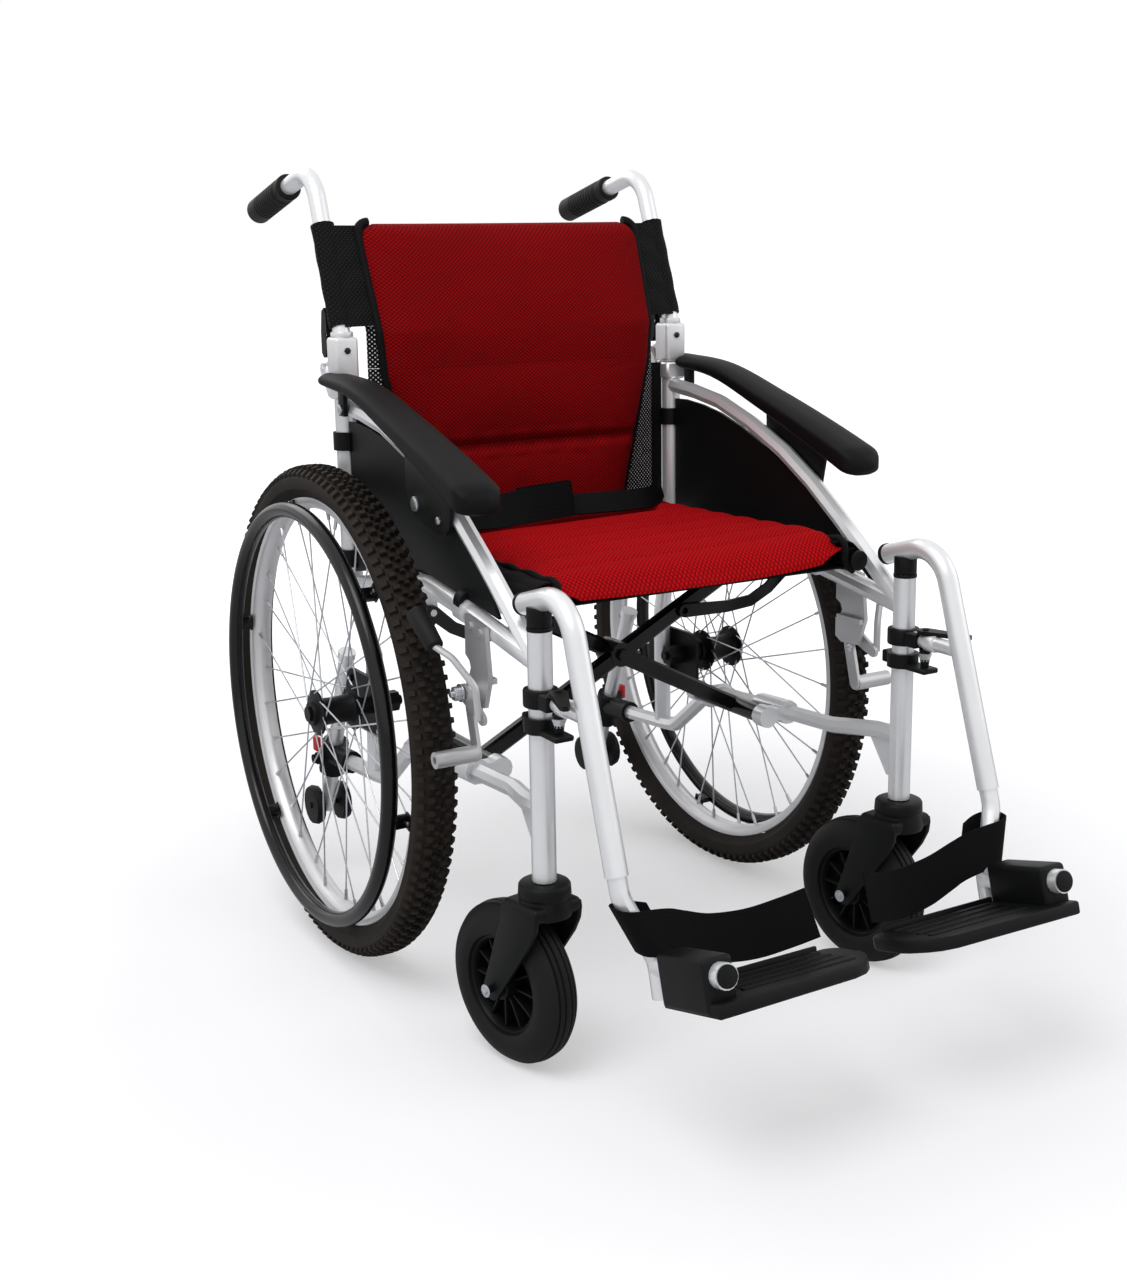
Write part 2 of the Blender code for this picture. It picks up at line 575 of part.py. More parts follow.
def make_brace_link(name, side):
    """A curved flat stay from the seat rail down to the brace bar."""
    line = [(FRAME_X, LINK_OUTER_Z), (0.2120, 0.4300), (0.1850, 0.4170), (0.1500, 0.4140), (LINK_INNER_X, LINK_INNER_Z)]
    half = 0.0072
    spine = [Vector(p) for p in line]
    upper, lower = [], []
    for i, point in enumerate(spine):
        ahead = spine[min(i + 1, len(spine) - 1)] - spine[max(i - 1, 0)]
        normal = Vector((-ahead.y, ahead.x)).normalized()
        upper.append(point + normal * half)
        lower.append(point - normal * half)
    outer_turn = math.degrees(math.atan2(*(upper[0] - spine[0]).yx))
    inner_turn = math.degrees(math.atan2(*(lower[-1] - spine[-1]).yx))
    outline = [tuple(p) for p in upper[1:-1]]
    outline += arc(*spine[-1], half + 0.001, inner_turn - 180, inner_turn - 360, 6)
    outline += [tuple(p) for p in reversed(lower[1:-1])]
    outline += arc(*spine[0], half + 0.001, outer_turn - 180, outer_turn - 360, 6)
    eye = arc(*spine[0], 0.0043, 0, 330, 11)
    inner_eye = arc(*spine[-1], 0.0043, 0, 330, 11)
    front = link_tab_y(side) - 0.0015 - 0.001
    link = cross_sheet(side, (front - 0.004, front - 0.0005), outline, [eye, inner_eye])
    return fuse(name, BLACK_PAINT, [link], pivot=at(side, FRAME_X, front, LINK_OUTER_Z))


# Seat and back
SEAT_FRONT = -0.382
SEAT_REAR = 0.008
SEAT_HALF = SEAT_TUBE_X - 0.003
SEAT_BASE = SEAT_TUBE_Z - 0.0062
SEAT_CHANNELS = 6


def edge_fall(t, power=8):
    """1 in the middle of a pad, falling to 0 at its edge."""
    return (1 - abs(t) ** power) ** 0.5 if abs(t) < 1 else 0.0


def make_seat_cushion():
    """Red seat pad: crowned, with sewn channels across and a rolled front edge."""
    def place(u, v, face):
        u = math.sin(u * math.pi / 2 * 0.999)
        drawn_in = 1 - 0.015 * (1 - abs(v) ** 4) * abs(u) ** 3
        x = u * SEAT_HALF * drawn_in
        y = SEAT_FRONT + (SEAT_REAR - SEAT_FRONT) * (v + 1) / 2
        along = (v + 1) / 2 * SEAT_CHANNELS
        groove = 0.0035 * (1 - abs(math.sin(along * math.pi)) ** 0.5) * edge_fall(u, 4)
        rolled = min(1.0, (y - SEAT_FRONT) / 0.055)
        front_drop = 0.020 * (1 - math.sin(rolled * math.pi / 2))
        crown = 0.0135 * edge_fall(u, 6) + 0.004 * u * u
        over_tube = min(1.0, max(0.0, abs(x) - SEAT_TUBE_X + 0.040) / 0.025)
        under = SEAT_BASE + (SEAT_TUBE_Z + SEAT_TUBE_RADIUS + 0.0036 - SEAT_BASE) * over_tube
        over = SEAT_TUBE_Z + 0.0185 + crown - groove - front_drop * (1 - over_tube)
        if abs(v) > 0.99:
            over = under + (over - under) * 0.45
        return Vector((x, y + AXLE_Y, over if face > 0 else under))
    return fuse("seat_cushion", RED_MESH, [pad(8, 18, place)])


def make_seat_sling():
    """Black seat fabric, sewn round the two seat tubes."""
    sheet_block = block(at(1, 0.005 - SEAT_TUBE_X, SEAT_FRONT + 0.006, SEAT_BASE - 0.0030),
                        at(1, SEAT_TUBE_X - 0.005, SEAT_REAR - 0.001, SEAT_BASE - 0.0005))
    shapes = [sheet_block]
    cuts = []
    for side in (-1, 1):
        shapes.append(side_rod(side, (SEAT_TUBE_X, SEAT_FRONT + 0.005, SEAT_TUBE_Z), (SEAT_TUBE_X, SEAT_REAR, SEAT_TUBE_Z),
                               SEAT_TUBE_RADIUS + 0.0028))
        cuts.append(side_rod(side, (SEAT_TUBE_X, SEAT_FRONT - 0.02, SEAT_TUBE_Z), (SEAT_TUBE_X, SEAT_REAR + 0.02, SEAT_TUBE_Z),
                             SEAT_TUBE_RADIUS + 0.0006, 14))
        cuts.append(side_block(side, (SEAT_TUBE_X - 0.033, SEAT_TUBE_X + 0.020), (-0.216, -0.163),
                               (SEAT_TUBE_Z - 0.032, SEAT_TUBE_Z + 0.028)))
    return fuse("seat_sling", BLACK_FABRIC, shapes, cuts)


def back_half_width(z):
    """Half width of the red back pad at a height."""
    knots = [(0.480, 0.138), (0.540, 0.150), (0.610, 0.166), (0.700, 0.186), (0.760, 0.191), (0.900, 0.197)]
    for (z0, w0), (z1, w1) in zip(knots, knots[1:]):
        if z <= z1:
            return w0 + (w1 - w0) * (z - z0) / (z1 - z0)
    return knots[-1][1]


def back_plane(z):
    """Distance of the back fabric behind the axle: it follows the leaning upper tubes."""
    lean = (HANDLE_CORNER[0] - BACK_POST_Y) / (HANDLE_CORNER[1] - 0.75)
    return BACK_POST_Y + max(0.0, z - 0.75) * lean


def back_pad(name, low, high, top_edge, bottom_edge):
    def place(u, v, face):
        u = math.sin(u * math.pi / 2 * 0.999)
        z = low + (high - low) * (v + 1) / 2
        x = u * back_half_width(z)
        fall = edge_fall(u, 6)
        if top_edge and v > 0:
            fall *= edge_fall(v, 8)
        if bottom_edge and v < 0:
            fall *= edge_fall(v, 8)
        seam = 0.007 * math.exp(-((z - 0.606) / 0.009) ** 2)
        sag = 0.014 * (1 - u * u)
        base = back_plane(z) - 0.010 + sag
        y = base - 0.004 - (0.034 * fall - seam * fall) if face > 0 else base
        return Vector((x, y + AXLE_Y, z))
    return pad(10, 9 if top_edge else 8, place)


def make_back_pads():
    """Back upholstery: the upper piece hangs on the folding tubes, the lower on the side frames."""
    upper = back_pad("upper", BACK_FOLD_Z + GAP, 0.878, True, False)
    shapes = [upper]
    cuts = []
    for side in (-1, 1):
        tube_low, tube_high = (back_plane(0.758), 0.758), (back_plane(0.876), 0.876)
        start = at(side, FRAME_X, *tube_low)
        end = at(side, FRAME_X, *tube_high)
        shapes.append(rod(start, end, BACK_TUBE_RADIUS + 0.0028))
        cuts.append(rod(start - (end - start) * 0.2, end + (end - start) * 0.2, BACK_TUBE_RADIUS + 0.0008, 12))
        middle = (start + end) / 2
        lean = (end - start).normalized()
        tilt = Matrix.Rotation(-math.atan2(lean.y, lean.z), 4, "X")
        half = (end - start).length / 2 - 0.001
        wing_place = Matrix.Translation(middle) @ tilt @ Matrix.Translation((-side * 0.0275, -0.0113, 0))
        shapes.append(block((-0.0235, -0.0015, -half), (0.0235, 0.0015, half), 0.0, wing_place))
    fuse("back_pad_upper", RED_MESH, shapes, cuts)
    lower = back_pad("lower", SEAT_TUBE_Z, BACK_FOLD_Z - GAP, False, True)
    fuse("back_pad_lower", RED_MESH, [lower])


def ribbon(path, across, width, thickness):
    """A flat strap of even width along a path."""
    bm = bmesh.new()
    bmesh.ops.create_grid(bm, x_segments=len(path) - 1, y_segments=1, size=1.0)
    for vertex in bm.verts:
        index = round((vertex.co.x + 1) / 2 * (len(path) - 1))
        vertex.co = path[index] + across * (vertex.co.y * width / 2)
    obj = keep(bm)
    solid = obj.modifiers.new("thickness", "SOLIDIFY")
    solid.thickness = thickness
    solid.offset = 0.0
    solid.use_even_offset = True
    return solidified(obj)


def make_lap_belt():
    """Two belt halves that meet in a standing loop in the middle of the seat."""
    knots = [(-0.150, -0.085, 0.5425), (-0.110, -0.100, 0.5428), (-0.045, -0.104, 0.5440), (0.010, -0.104, 0.5436),
             (0.060, -0.103, 0.5430), (0.120, -0.094, 0.5428), (0.165, -0.045, 0.5426), (0.186, -0.006, 0.5424)]
    path = smooth([at(1, *p) for p in knots], 2)
    strap = ribbon(path, Vector((0, 0.25, 0.97)).normalized(), 0.034, 0.0024)
    buckle = block(at(1, -0.085, -0.113, 0.5310), at(1, -0.012, -0.095, 0.5620), 0.004)
    return fuse("lap_belt", BLACK_FABRIC, [strap, buckle])


# Rear wheels
def make_tyre(name, side):
    r = WHEEL_RADIUS
    half = TYRE_WIDTH / 2
    bead = RIM_RADIUS + 0.0009
    depth = r - bead
    right = [(bead, RIM_HALF), (bead + 0.206 * depth, half - 0.0040), (bead + 0.590 * depth, half),
             (bead + 0.881 * depth, half - 0.0070), (r, 0.0065)]
    profile = right + [(radius, -offset) for radius, offset in reversed(right)]
    steps = 44
    tyre = turned(profile, Matrix.Identity(4), steps, ring=True)
    for vertex in tyre.data.vertices:
        flat = math.hypot(vertex.co.x, vertex.co.y)
        turn = round(math.degrees(math.atan2(vertex.co.y, vertex.co.x)) / (360 / steps)) % steps
        on_shoulder = flat > bead + 0.471 * depth and abs(vertex.co.z) > 0.010
        if on_shoulder and (turn + (1 if vertex.co.z > 0 else 0)) % 2:
            vertex.co.x *= 1 - LUG_DEPTH / flat
            vertex.co.y *= 1 - LUG_DEPTH / flat
    tyre.data.transform(cross_axis(side, WHEEL_X, 0, WHEEL_RADIUS))
    return fuse(name, RUBBER, [tyre], pivot=at(side, WHEEL_X, 0, WHEEL_RADIUS))


def make_rim(name, side):
    inner = RIM_RADIUS - RIM_DEPTH
    profile = [(RIM_RADIUS, -RIM_HALF), (RIM_RADIUS, RIM_HALF), (RIM_RADIUS - 0.007, RIM_HALF),
               (inner, 0.0), (RIM_RADIUS - 0.007, -RIM_HALF)]
    rim = turned(profile, cross_axis(side, WHEEL_X, 0, WHEEL_RADIUS), 36, ring=True)
    return fuse(name, ALLOY, [rim], pivot=at(side, WHEEL_X, 0, WHEEL_RADIUS))


FLANGE_OFFSETS = (-0.0245, 0.0220)


def spoke_ends(flange, index):
    """Start at the hub flange and end at the rim for one laced spoke."""
    turn = 2 * math.pi * (index + 0.5 * flange) / SPOKES_PER_FLANGE
    swing = math.radians(58) * (1 if index % 2 else -1)
    offset = FLANGE_OFFSETS[flange] + (0.0012 if index % 2 else -0.0012)
    reach = (RIM_RADIUS - RIM_DEPTH) * math.cos(math.pi / 36) + 0.0002
    start = Vector((FLANGE_RADIUS - 0.005, 0, offset))
    start.rotate(Quaternion((0, 0, 1), turn + swing))
    end = Vector((reach, 0, 0.003 * (1 if flange else -1) + offset - FLANGE_OFFSETS[flange]))
    end.rotate(Quaternion((0, 0, 1), turn))
    return start, end


def make_hub(name, side):
    place = cross_axis(side, WHEEL_X, 0, WHEEL_RADIUS)
    inner, outer = FLANGE_OFFSETS
    bore = AXLE_RADIUS + GAP
    profile = [(bore, -0.0332), (0.0145, -0.0332), (0.0150, inner - 0.0022), (FLANGE_RADIUS, inner),
               (HUB_INNER, inner + 0.0036), (HUB_INNER, outer - 0.0036), (FLANGE_RADIUS, outer),
               (0.0150, outer + 0.0022), (0.0145, 0.0310), (bore, 0.0310)]
    hub = turned(profile, place, 16, ring=True)
    spokes = bmesh.new()
    for flange in (0, 1):
        for index in range(SPOKES_PER_FLANGE):
            start, end = spoke_ends(flange, index)
            turn = (end - start).to_track_quat("Z", "X").to_matrix().to_4x4()
            spot = place @ Matrix.Translation((start + end) / 2) @ turn
            bmesh.ops.create_cone(spokes, cap_ends=True, segments=3, radius1=SPOKE_RADIUS, radius2=SPOKE_RADIUS,
                                  depth=(end - start).length, matrix=spot)
    laced = keep(spokes)
    body = fuse(name, BLACK_PLASTIC, [hub, laced], pivot=at(side, WHEEL_X, 0, WHEEL_RADIUS))
    body.modifiers[0].use_self = True
    return body


def make_handrim(name, side):
    place = cross_axis(side, WHEEL_X + HANDRIM_OFFSET, 0, WHEEL_RADIUS)
    ring = turned([(HANDRIM_RADIUS + HANDRIM_TUBE * math.cos(2 * math.pi * i / 8),
                    HANDRIM_TUBE * math.sin(2 * math.pi * i / 8)) for i in range(8)], place, 34, ring=True)
    shapes = [ring]
    for index in range(HANDRIM_TABS):
        turn = place @ Matrix.Rotation(2 * math.pi * (index + 0.25) / HANDRIM_TABS, 4, "Z")
        low = -(HANDRIM_OFFSET - RIM_HALF) + 2 * GAP
        shapes.append(block((HANDRIM_RADIUS - 0.002, -0.007, low), (HANDRIM_RADIUS + 0.007, 0.007, 0.0), 0.0, turn))
    return fuse(name, BLACK_PAINT, shapes, pivot=at(side, WHEEL_X, 0, WHEEL_RADIUS))


def make_axle_plate(name, side):
    """Bolted axle plate with the quick-release axle, its receiver and spacer."""
    outline = rounded([(-0.031, 0.259), (0.078, 0.259), (0.084, 0.275), (0.084, 0.318), (0.070, 0.331), (-0.031, 0.331)],
                      0.008, 1, closed=True)
    (top_x, _, top_z), (foot_x, _, foot_z) = REAR_POST
    post_x = foot_x + (top_x - foot_x) * (0.259 - foot_z) / (top_z - foot_z)
    post_face = post_x + RAIL_RADIUS * math.cos(math.pi / 12) + 1.5 * GAP
    plate = side_sheet(side, (post_face, post_face + 0.005), [tuple(p) for p in outline])
    axle = side_rod(side, (0.1960, 0, WHEEL_RADIUS), (WHEEL_X + 0.0340, 0, WHEEL_RADIUS), AXLE_RADIUS)
    receiver = side_rod(side, (0.2010, 0, WHEEL_RADIUS), (post_face + 0.002, 0, WHEEL_RADIUS), 0.0135, 6)
    spacer = side_rod(side, (post_face + 0.003, 0, WHEEL_RADIUS), (WHEEL_X - 0.0335, 0, WHEEL_RADIUS), 0.0115, 10)
    button = side_rod(side, (WHEEL_X + 0.0313, 0, WHEEL_RADIUS), (WHEEL_X + 0.0345, 0, WHEEL_RADIUS), 0.0095, 10)
    bolts = [side_rod(side, (post_face + 0.004, y, z), (post_face + 0.0085, y, z), 0.0050, 6)
             for y, z in ((-0.020, 0.269), (0.066, 0.269), (-0.020, 0.321), (0.066, 0.319))]
    return fuse(name, BLACK_PAINT, [plate, axle, receiver, spacer, button, *bolts], pivot=at(side, WHEEL_X, 0, WHEEL_RADIUS))


# Casters
def caster_place(name, side):
    """Stem matrix: Z up the stem, Y the trailing direction."""
    turn = math.radians(CASTER_SWIVEL[name])
    return Matrix.Translation(at(side, FRAME_X, FRONT_POST_Y, 0)) @ Matrix.Rotation(turn, 4, "Z")


def make_caster_fork(name, hand, side):
    place = caster_place(hand, side)
    top = FORK_TOP
    cap = turned([(0.0, top), (0.0300, top), (0.0300, top - 0.0112), (0.0265, top - 0.0142), (0.0255, top - 0.0322),
                  (0.0, top - 0.0322)], place, 16)
    crown = block((-0.0325, -0.0240, top - 0.0352), (0.0325, 0.0340, top - 0.0192), 0.0, place)
    outline = [(-0.0225, top - 0.0222), (-0.0225, top - 0.0352), (-0.0120, top - 0.0592)]
    outline += arc(CASTER_TRAIL, CASTER_RADIUS, 0.0130, 200, 380, 5)
    outline += [(0.0420, top - 0.0592), (0.0325, top - 0.0222)]
    axes = Matrix(((0, 0, 1), (1, 0, 0), (0, 1, 0))).to_4x4()
    legs = []
    for edge in (-1, 1):
        legs.append(sheet(outline, 0.0060, place @ Matrix.Translation((edge * 0.0291, 0, 0)) @ axes))
    stem = rod(place @ Vector((0, 0, top - 0.0202)), place @ Vector((0, 0, top + 0.0328)), STEM_RADIUS)
    axle = rod(place @ Vector((-0.0390, CASTER_TRAIL, CASTER_RADIUS)), place @ Vector((0.0390, CASTER_TRAIL, CASTER_RADIUS)),
               0.0040, 10)
    heads = [rod(place @ Vector((edge * 0.0315, CASTER_TRAIL, CASTER_RADIUS)),
                 place @ Vector((edge * 0.0385, CASTER_TRAIL, CASTER_RADIUS)), 0.0068, 6) for edge in (-1, 1)]
    return fuse(name, BLACK_PLASTIC, [crown, cap, *legs, stem, axle, *heads], pivot=at(side, FRAME_X, FRONT_POST_Y, FORK_TOP))


def make_caster_wheel(name, hand, side):
    place = caster_place(hand, side)
    turn = place @ Matrix.Translation((0, CASTER_TRAIL, CASTER_RADIUS)) @ Matrix.Rotation(math.pi / 2, 4, "Y")
    r, half = CASTER_RADIUS, CASTER_HALF
    outer = [(r, 0.0085), (r - 0.0090, half - 0.0020), (r - 0.0350, half - 0.0020)]
    web = [(0.0510, 0.0080), (0.0180, 0.0090), (0.0150, half - 0.0010), (0.0044, half - 0.0010)]
    right = outer + web
    profile = right + [(radius, -offset) for radius, offset in reversed(right)]
    wheel = turned(profile, turn, 20, ring=True)
    windows = []
    for index in range(6):
        outline = [(0.0465, -0.0140), (0.0465, 0.0140), (0.0240, 0.0040), (0.0240, -0.0040)]
        spin = turn @ Matrix.Rotation(2 * math.pi * (index + 0.12) / 6, 4, "Z")
        windows.append(sheet(outline, 0.0600, spin))
    pivot = turn.translation
    return fuse(name, RUBBER, [wheel], windows, pivot)


# Brakes
def make_brake_body(name, side):
    outline = [(0.0110, 0.4720), (-0.0340, 0.4650), (-0.0410, 0.4100), (-0.0290, 0.3780), (0.0010, 0.3760),
               (0.0120, 0.3820), (0.0120, 0.4040), (0.0030, 0.4090), (0.0000, 0.4160), (0.0030, 0.4230),
               (0.0120, 0.4280)]
    outline = [(BRAKE_Y + y, z) for y, z in outline]
    inner = FRAME_X + RAIL_RADIUS + GAP
    plate = side_sheet(side, (inner, inner + 0.0050), outline)
    flange = side_block(side, (inner - 0.0060, inner + 0.002), (BRAKE_Y - 0.0390, BRAKE_Y + 0.0030), (0.4050, 0.4110))
    bolt = side_rod(side, (inner + 0.002, BRAKE_Y, BRAKE_Z), (0.2660, BRAKE_Y, BRAKE_Z), 0.0040, 10)
    head = side_rod(side, (0.2642, BRAKE_Y, BRAKE_Z), (0.2720, BRAKE_Y, BRAKE_Z), 0.0075, 6)
    screws = [side_rod(side, (inner + 0.004, y, rail_height(y) - 0.001), (inner + 0.0072, y, rail_height(y) - 0.001), 0.0040, 8)
              for y in (BRAKE_Y - 0.0020, BRAKE_Y - 0.0240)]
    return fuse(name, ALLOY, [plate, flange, bolt, head, *screws], pivot=at(side, inner, BRAKE_Y, BRAKE_Z))


def make_brake_arm(name, side):
    spread = math.atan2(ROLLER_Z - BRAKE_Z, ROLLER_Y - BRAKE_Y)
    lean = math.degrees(spread)
    outline = arc(BRAKE_Y, BRAKE_Z, 0.0078, lean + 90, lean + 270, 6)
    outline += arc(ROLLER_Y, ROLLER_Z, 0.0078, lean - 90, lean + 90, 6)
    hole = arc(BRAKE_Y, BRAKE_Z, 0.0043, 0, 324, 9)
    plate = side_sheet(side, (0.2535, 0.2575), outline, [hole])
    roller = side_rod(side, (0.2565, ROLLER_Y, ROLLER_Z), (0.3050, ROLLER_Y, ROLLER_Z), ROLLER_RADIUS, 14)
    recess = side_rod(side, (0.2950, ROLLER_Y, ROLLER_Z), (0.3100, ROLLER_Y, ROLLER_Z), 0.0045, 6)
    return fuse(name, ALLOY, [plate, roller], [recess], at(side, 0.2555, BRAKE_Y, BRAKE_Z))


def make_brake_lever(name, side):
    end = (BRAKE_Y - 0.0420, 0.3705)
    lean = math.degrees(math.atan2(end[1] - BRAKE_Z, end[0] - BRAKE_Y))
    outline = arc(BRAKE_Y, BRAKE_Z, 0.0095, lean + 90, lean + 270, 6)
    outline += arc(*end, 0.0065, lean - 90, lean + 90, 5)
    hole = arc(BRAKE_Y, BRAKE_Z, 0.0043, 0, 324, 9)
    plate = side_sheet(side, (0.2585, 0.2625), outline, [hole])
    path = [(0.2655, *end), (0.2670, BRAKE_Y - 0.0405, 0.4050), (0.2850, BRAKE_Y - 0.0250, 0.4360),
            (0.2970, BRAKE_Y - 0.0090, 0.4470)]
    rod_part = pipe(rounded([at(side, *p) for p in path], 0.020, 2), 0.0040, 8)
    grip_start, grip_end = at(side, 0.2970, BRAKE_Y - 0.0100, 0.4463), at(side, 0.2990, BRAKE_Y + 0.0290, 0.4750)
    grip = rod(grip_start, grip_end, 0.0090, 10, 0.0110)
    return fuse(name, ALLOY, [plate, rod_part, grip], pivot=at(side, 0.2605, BRAKE_Y, BRAKE_Z))


# Swing-away footrests
LEAN = math.radians(HANGER_LEAN)
TUBE_UP = Vector((0, math.sin(LEAN), math.cos(LEAN)))
HANGER_TOP = (-0.404, 0.4990)
HANGER_KNEE = (-0.4876, 0.5230)
STUB_Z = 0.4095
RING_RADIUS = 0.0180


def make_hanger(name, side):
    end = at(side, FRAME_X, *HANGER_END)
    path = [at(side, FRAME_X, *HANGER_TOP), at(side, FRAME_X, *HANGER_KNEE), end]
    tube = pipe(rounded(path, 0.045, 3), HANGER_RADIUS, 12)
    collar = side_rod(side, (FRAME_X + 0.0003, FRONT_POST_Y, FRONT_POST_TOP + GAP),
                      (FRAME_X + 0.0003, FRONT_POST_Y, 0.5010), POST_RADIUS, 14)
    pin = side_rod(side, (FRAME_X, FRONT_POST_Y, 0.4520), (FRAME_X, FRONT_POST_Y, 0.4900), 0.0062, 9)
    ring = side_rod(side, (FRAME_X, FRONT_POST_Y, STUB_Z - 0.0095), (FRAME_X, FRONT_POST_Y, STUB_Z + 0.0095), RING_RADIUS, 12)
    stub_end = HANGER_END[0] + (STUB_Z - HANGER_END[1]) * math.tan(LEAN)
    stub = side_rod(side, (FRAME_X, FRONT_POST_Y - 0.0145, STUB_Z), (FRAME_X, stub_end + 0.002, STUB_Z), 0.0080, 11)
    bore = rod(end - TUBE_UP * 0.010, end + TUBE_UP * 0.135, LEG_RADIUS + 2 * GAP, 12)
    post_hole = side_rod(side, (FRAME_X, FRONT_POST_Y, STUB_Z - 0.03), (FRAME_X, FRONT_POST_Y, STUB_Z + 0.03),
                         POST_RADIUS + 2 * GAP, 16)
    pin_hole = side_rod(side, (FRAME_X, LATCH_Y, STUB_Z - 0.02), (FRAME_X, LATCH_Y, STUB_Z + 0.02), 0.0040)
    pivot = at(side, FRAME_X, FRONT_POST_Y, FRONT_POST_TOP)
    return fuse(name, SILVER, [tube, collar, pin, ring, stub], [bore, post_hole, pin_hole], pivot)


CATCH_Z = (0.3740, 0.3900)


def make_post_catch(name, side):
    ring = side_rod(side, (FRAME_X, FRONT_POST_Y, CATCH_Z[0]), (FRAME_X, FRONT_POST_Y, CATCH_Z[1]), RING_RADIUS, 12)
    lip = side_block(side, (FRAME_X - 0.011, FRAME_X + 0.011), (LATCH_Y - 0.011, FRONT_POST_Y), (CATCH_Z[0], CATCH_Z[0] + 0.006),
                     0.0015)
    clamp = side_block(side, (FRAME_X - 0.008, FRAME_X + 0.008), (FRONT_POST_Y + 0.010, FRONT_POST_Y + 0.027),
                       (CATCH_Z[0] + 0.001, CATCH_Z[1] - 0.001), 0.0015)
    hole = side_rod(side, (FRAME_X, FRONT_POST_Y, 0.3600), (FRAME_X, FRONT_POST_Y, 0.4000), POST_RADIUS + 2 * GAP, 16)
    seat = side_rod(side, (FRAME_X, LATCH_Y, 0.3700), (FRAME_X, LATCH_Y, 0.3860), 0.0040)
    return fuse(name, BLACK_PLASTIC, [ring, lip, clamp], [hole, seat])


def make_latch_lever(name, side):
    top = STUB_Z + 0.0080 + GAP
    tip = (0.2545, -0.5130)
    lean = math.degrees(math.atan2(tip[1] - LATCH_Y, tip[0] - FRAME_X))
    outline = arc(FRAME_X, LATCH_Y, 0.0095, lean + 90, lean + 270, 5) + arc(*tip, 0.0050, lean - 90, lean + 90, 3)
    place = Matrix(((side, 0, 0, 0), (0, 1, 0, AXLE_Y), (0, 0, 1, top + 0.0025), (0, 0, 0, 1)))
    lever = sheet(outline, 0.005, place)
    pin = side_rod(side, (FRAME_X, LATCH_Y, CATCH_Z[0] + 0.0080), (FRAME_X, LATCH_Y, top + 0.0065), 0.0037, 10)
    cone = rod(at(side, FRAME_X, LATCH_Y, CATCH_Z[0] + 0.0065), at(side, FRAME_X, LATCH_Y, STUB_Z - 0.0085), 0.0045, 10, 0.0070)
    return fuse(name, BLACK_PLASTIC, [lever, pin, cone], pivot=at(side, FRAME_X, LATCH_Y, top))


TILT = math.radians(FOOT_TILT)
LEG_BEND = [(FRAME_X, HANGER_END[0] - 0.020 * math.sin(LEAN), HANGER_END[1] - 0.020 * math.cos(LEAN)),
            (FOOT_X + 0.0015, -0.599, 0.186)]
LEG_BEND_MIDDLE = [(a + b) / 2 for a, b in zip(*LEG_BEND)]


def foot_place(side):
    """Footplate matrix: X inboard, Y rearward along the pivot bar, Z up off the plate."""
    inboard = Vector((-side, 0, 0))
    rear = Vector((0, math.cos(TILT), -math.sin(TILT)))
    up = Vector((0, math.sin(TILT), math.cos(TILT)))
    return Matrix.Translation(at(side, FOOT_X, FOOT_Y, FOOT_Z)) @ Matrix((inboard, rear, up)).transposed().to_4x4()


def make_leg_tube(name, side):
    end = at(side, FRAME_X, *HANGER_END)
    foot = LEG_BEND[1][0]
    path = [end + TUBE_UP * 0.128, at(side, *LEG_BEND[0]), at(side, *LEG_BEND[1]), at(side, foot, -0.6080, 0.1520)]
    tube = pipe(rounded(path, 0.030, 2), LEG_RADIUS, 10)
    place = foot_place(side)
    bar = rod(place @ Vector((0, 0, 0)), place @ Vector((0, 0.1120, 0)), FOOT_BAR_RADIUS, 16)
    return fuse(name, SILVER, [tube, bar], pivot=end)


FOOT_REAR = 0.0920


def make_footplate(name, side):
    place = foot_place(side)
    drop = -FOOT_PLATE_DROP
    outline = [(-0.0150, -0.0019), (0.1480, 0.0040), (0.1680, 0.0160), (FOOT_PLATE_REACH, 0.0420),
               (FOOT_PLATE_REACH, 0.0800), (0.1730, FOOT_REAR), (-0.0150, FOOT_REAR)]
    plate = sheet(outline, 0.0140, place @ Matrix.Translation((0, 0, drop + 0.0070)))
    housing = block((-0.0165, 0.0110, drop + 0.001), (0.0165, FOOT_REAR - 0.0005, 0.0167), 0.004, place)
    ribs = []
    for index in range(4):
        y = 0.022 + index * 0.018
        ribs.append(block((0.0300, y, drop + 0.0120), (0.1600, y + 0.007, drop + 0.0158), 0.0, place))
    rear_lip = block((0.0165, FOOT_REAR - 0.004, drop + 0.002), (0.1650, FOOT_REAR - 0.0003, drop + 0.0190), 0.001, place)
    bore = rod(place @ Vector((0, -0.020, 0)), place @ Vector((0, 0.130, 0)), FOOT_BAR_RADIUS + GAP, 16)
    pivot = at(side, FOOT_X, FOOT_Y, FOOT_Z)
    return fuse(name, BLACK_PLASTIC, [plate, housing, *ribs, rear_lip], [bore], pivot)


def make_heel_strap(name, side):
    """Webbing with a sleeve round the leg tube, hung across to the footplate's inner corner."""
    middle = at(side, *LEG_BEND_MIDDLE)
    along = (at(side, *LEG_BEND[0]) - at(side, *LEG_BEND[1])).normalized()
    sleeve = rod(middle - along * 0.023, middle + along * 0.023, LEG_RADIUS + 0.0034)
    knots = [(LEG_BEND_MIDDLE[0] - 0.0110, LEG_BEND_MIDDLE[1], LEG_BEND_MIDDLE[2] - 0.002), (0.1800, -0.5930, 0.2010),
             (0.1350, -0.5930, 0.1840), (0.0950, -0.5950, 0.1800), (0.0600, -0.6050, 0.1900), (0.0350, -0.6130, 0.1980)]
    across = Vector((0.10 * side, 0.25, 0.96)).normalized()
    strap = ribbon(smooth([at(side, *p) for p in knots], 2), across, 0.044, 0.0022)
    bore = rod(middle - along * 0.050, middle + along * 0.050, LEG_RADIUS + 0.0009)
    return fuse(name, BLACK_FABRIC, [sleeve, strap], [bore])


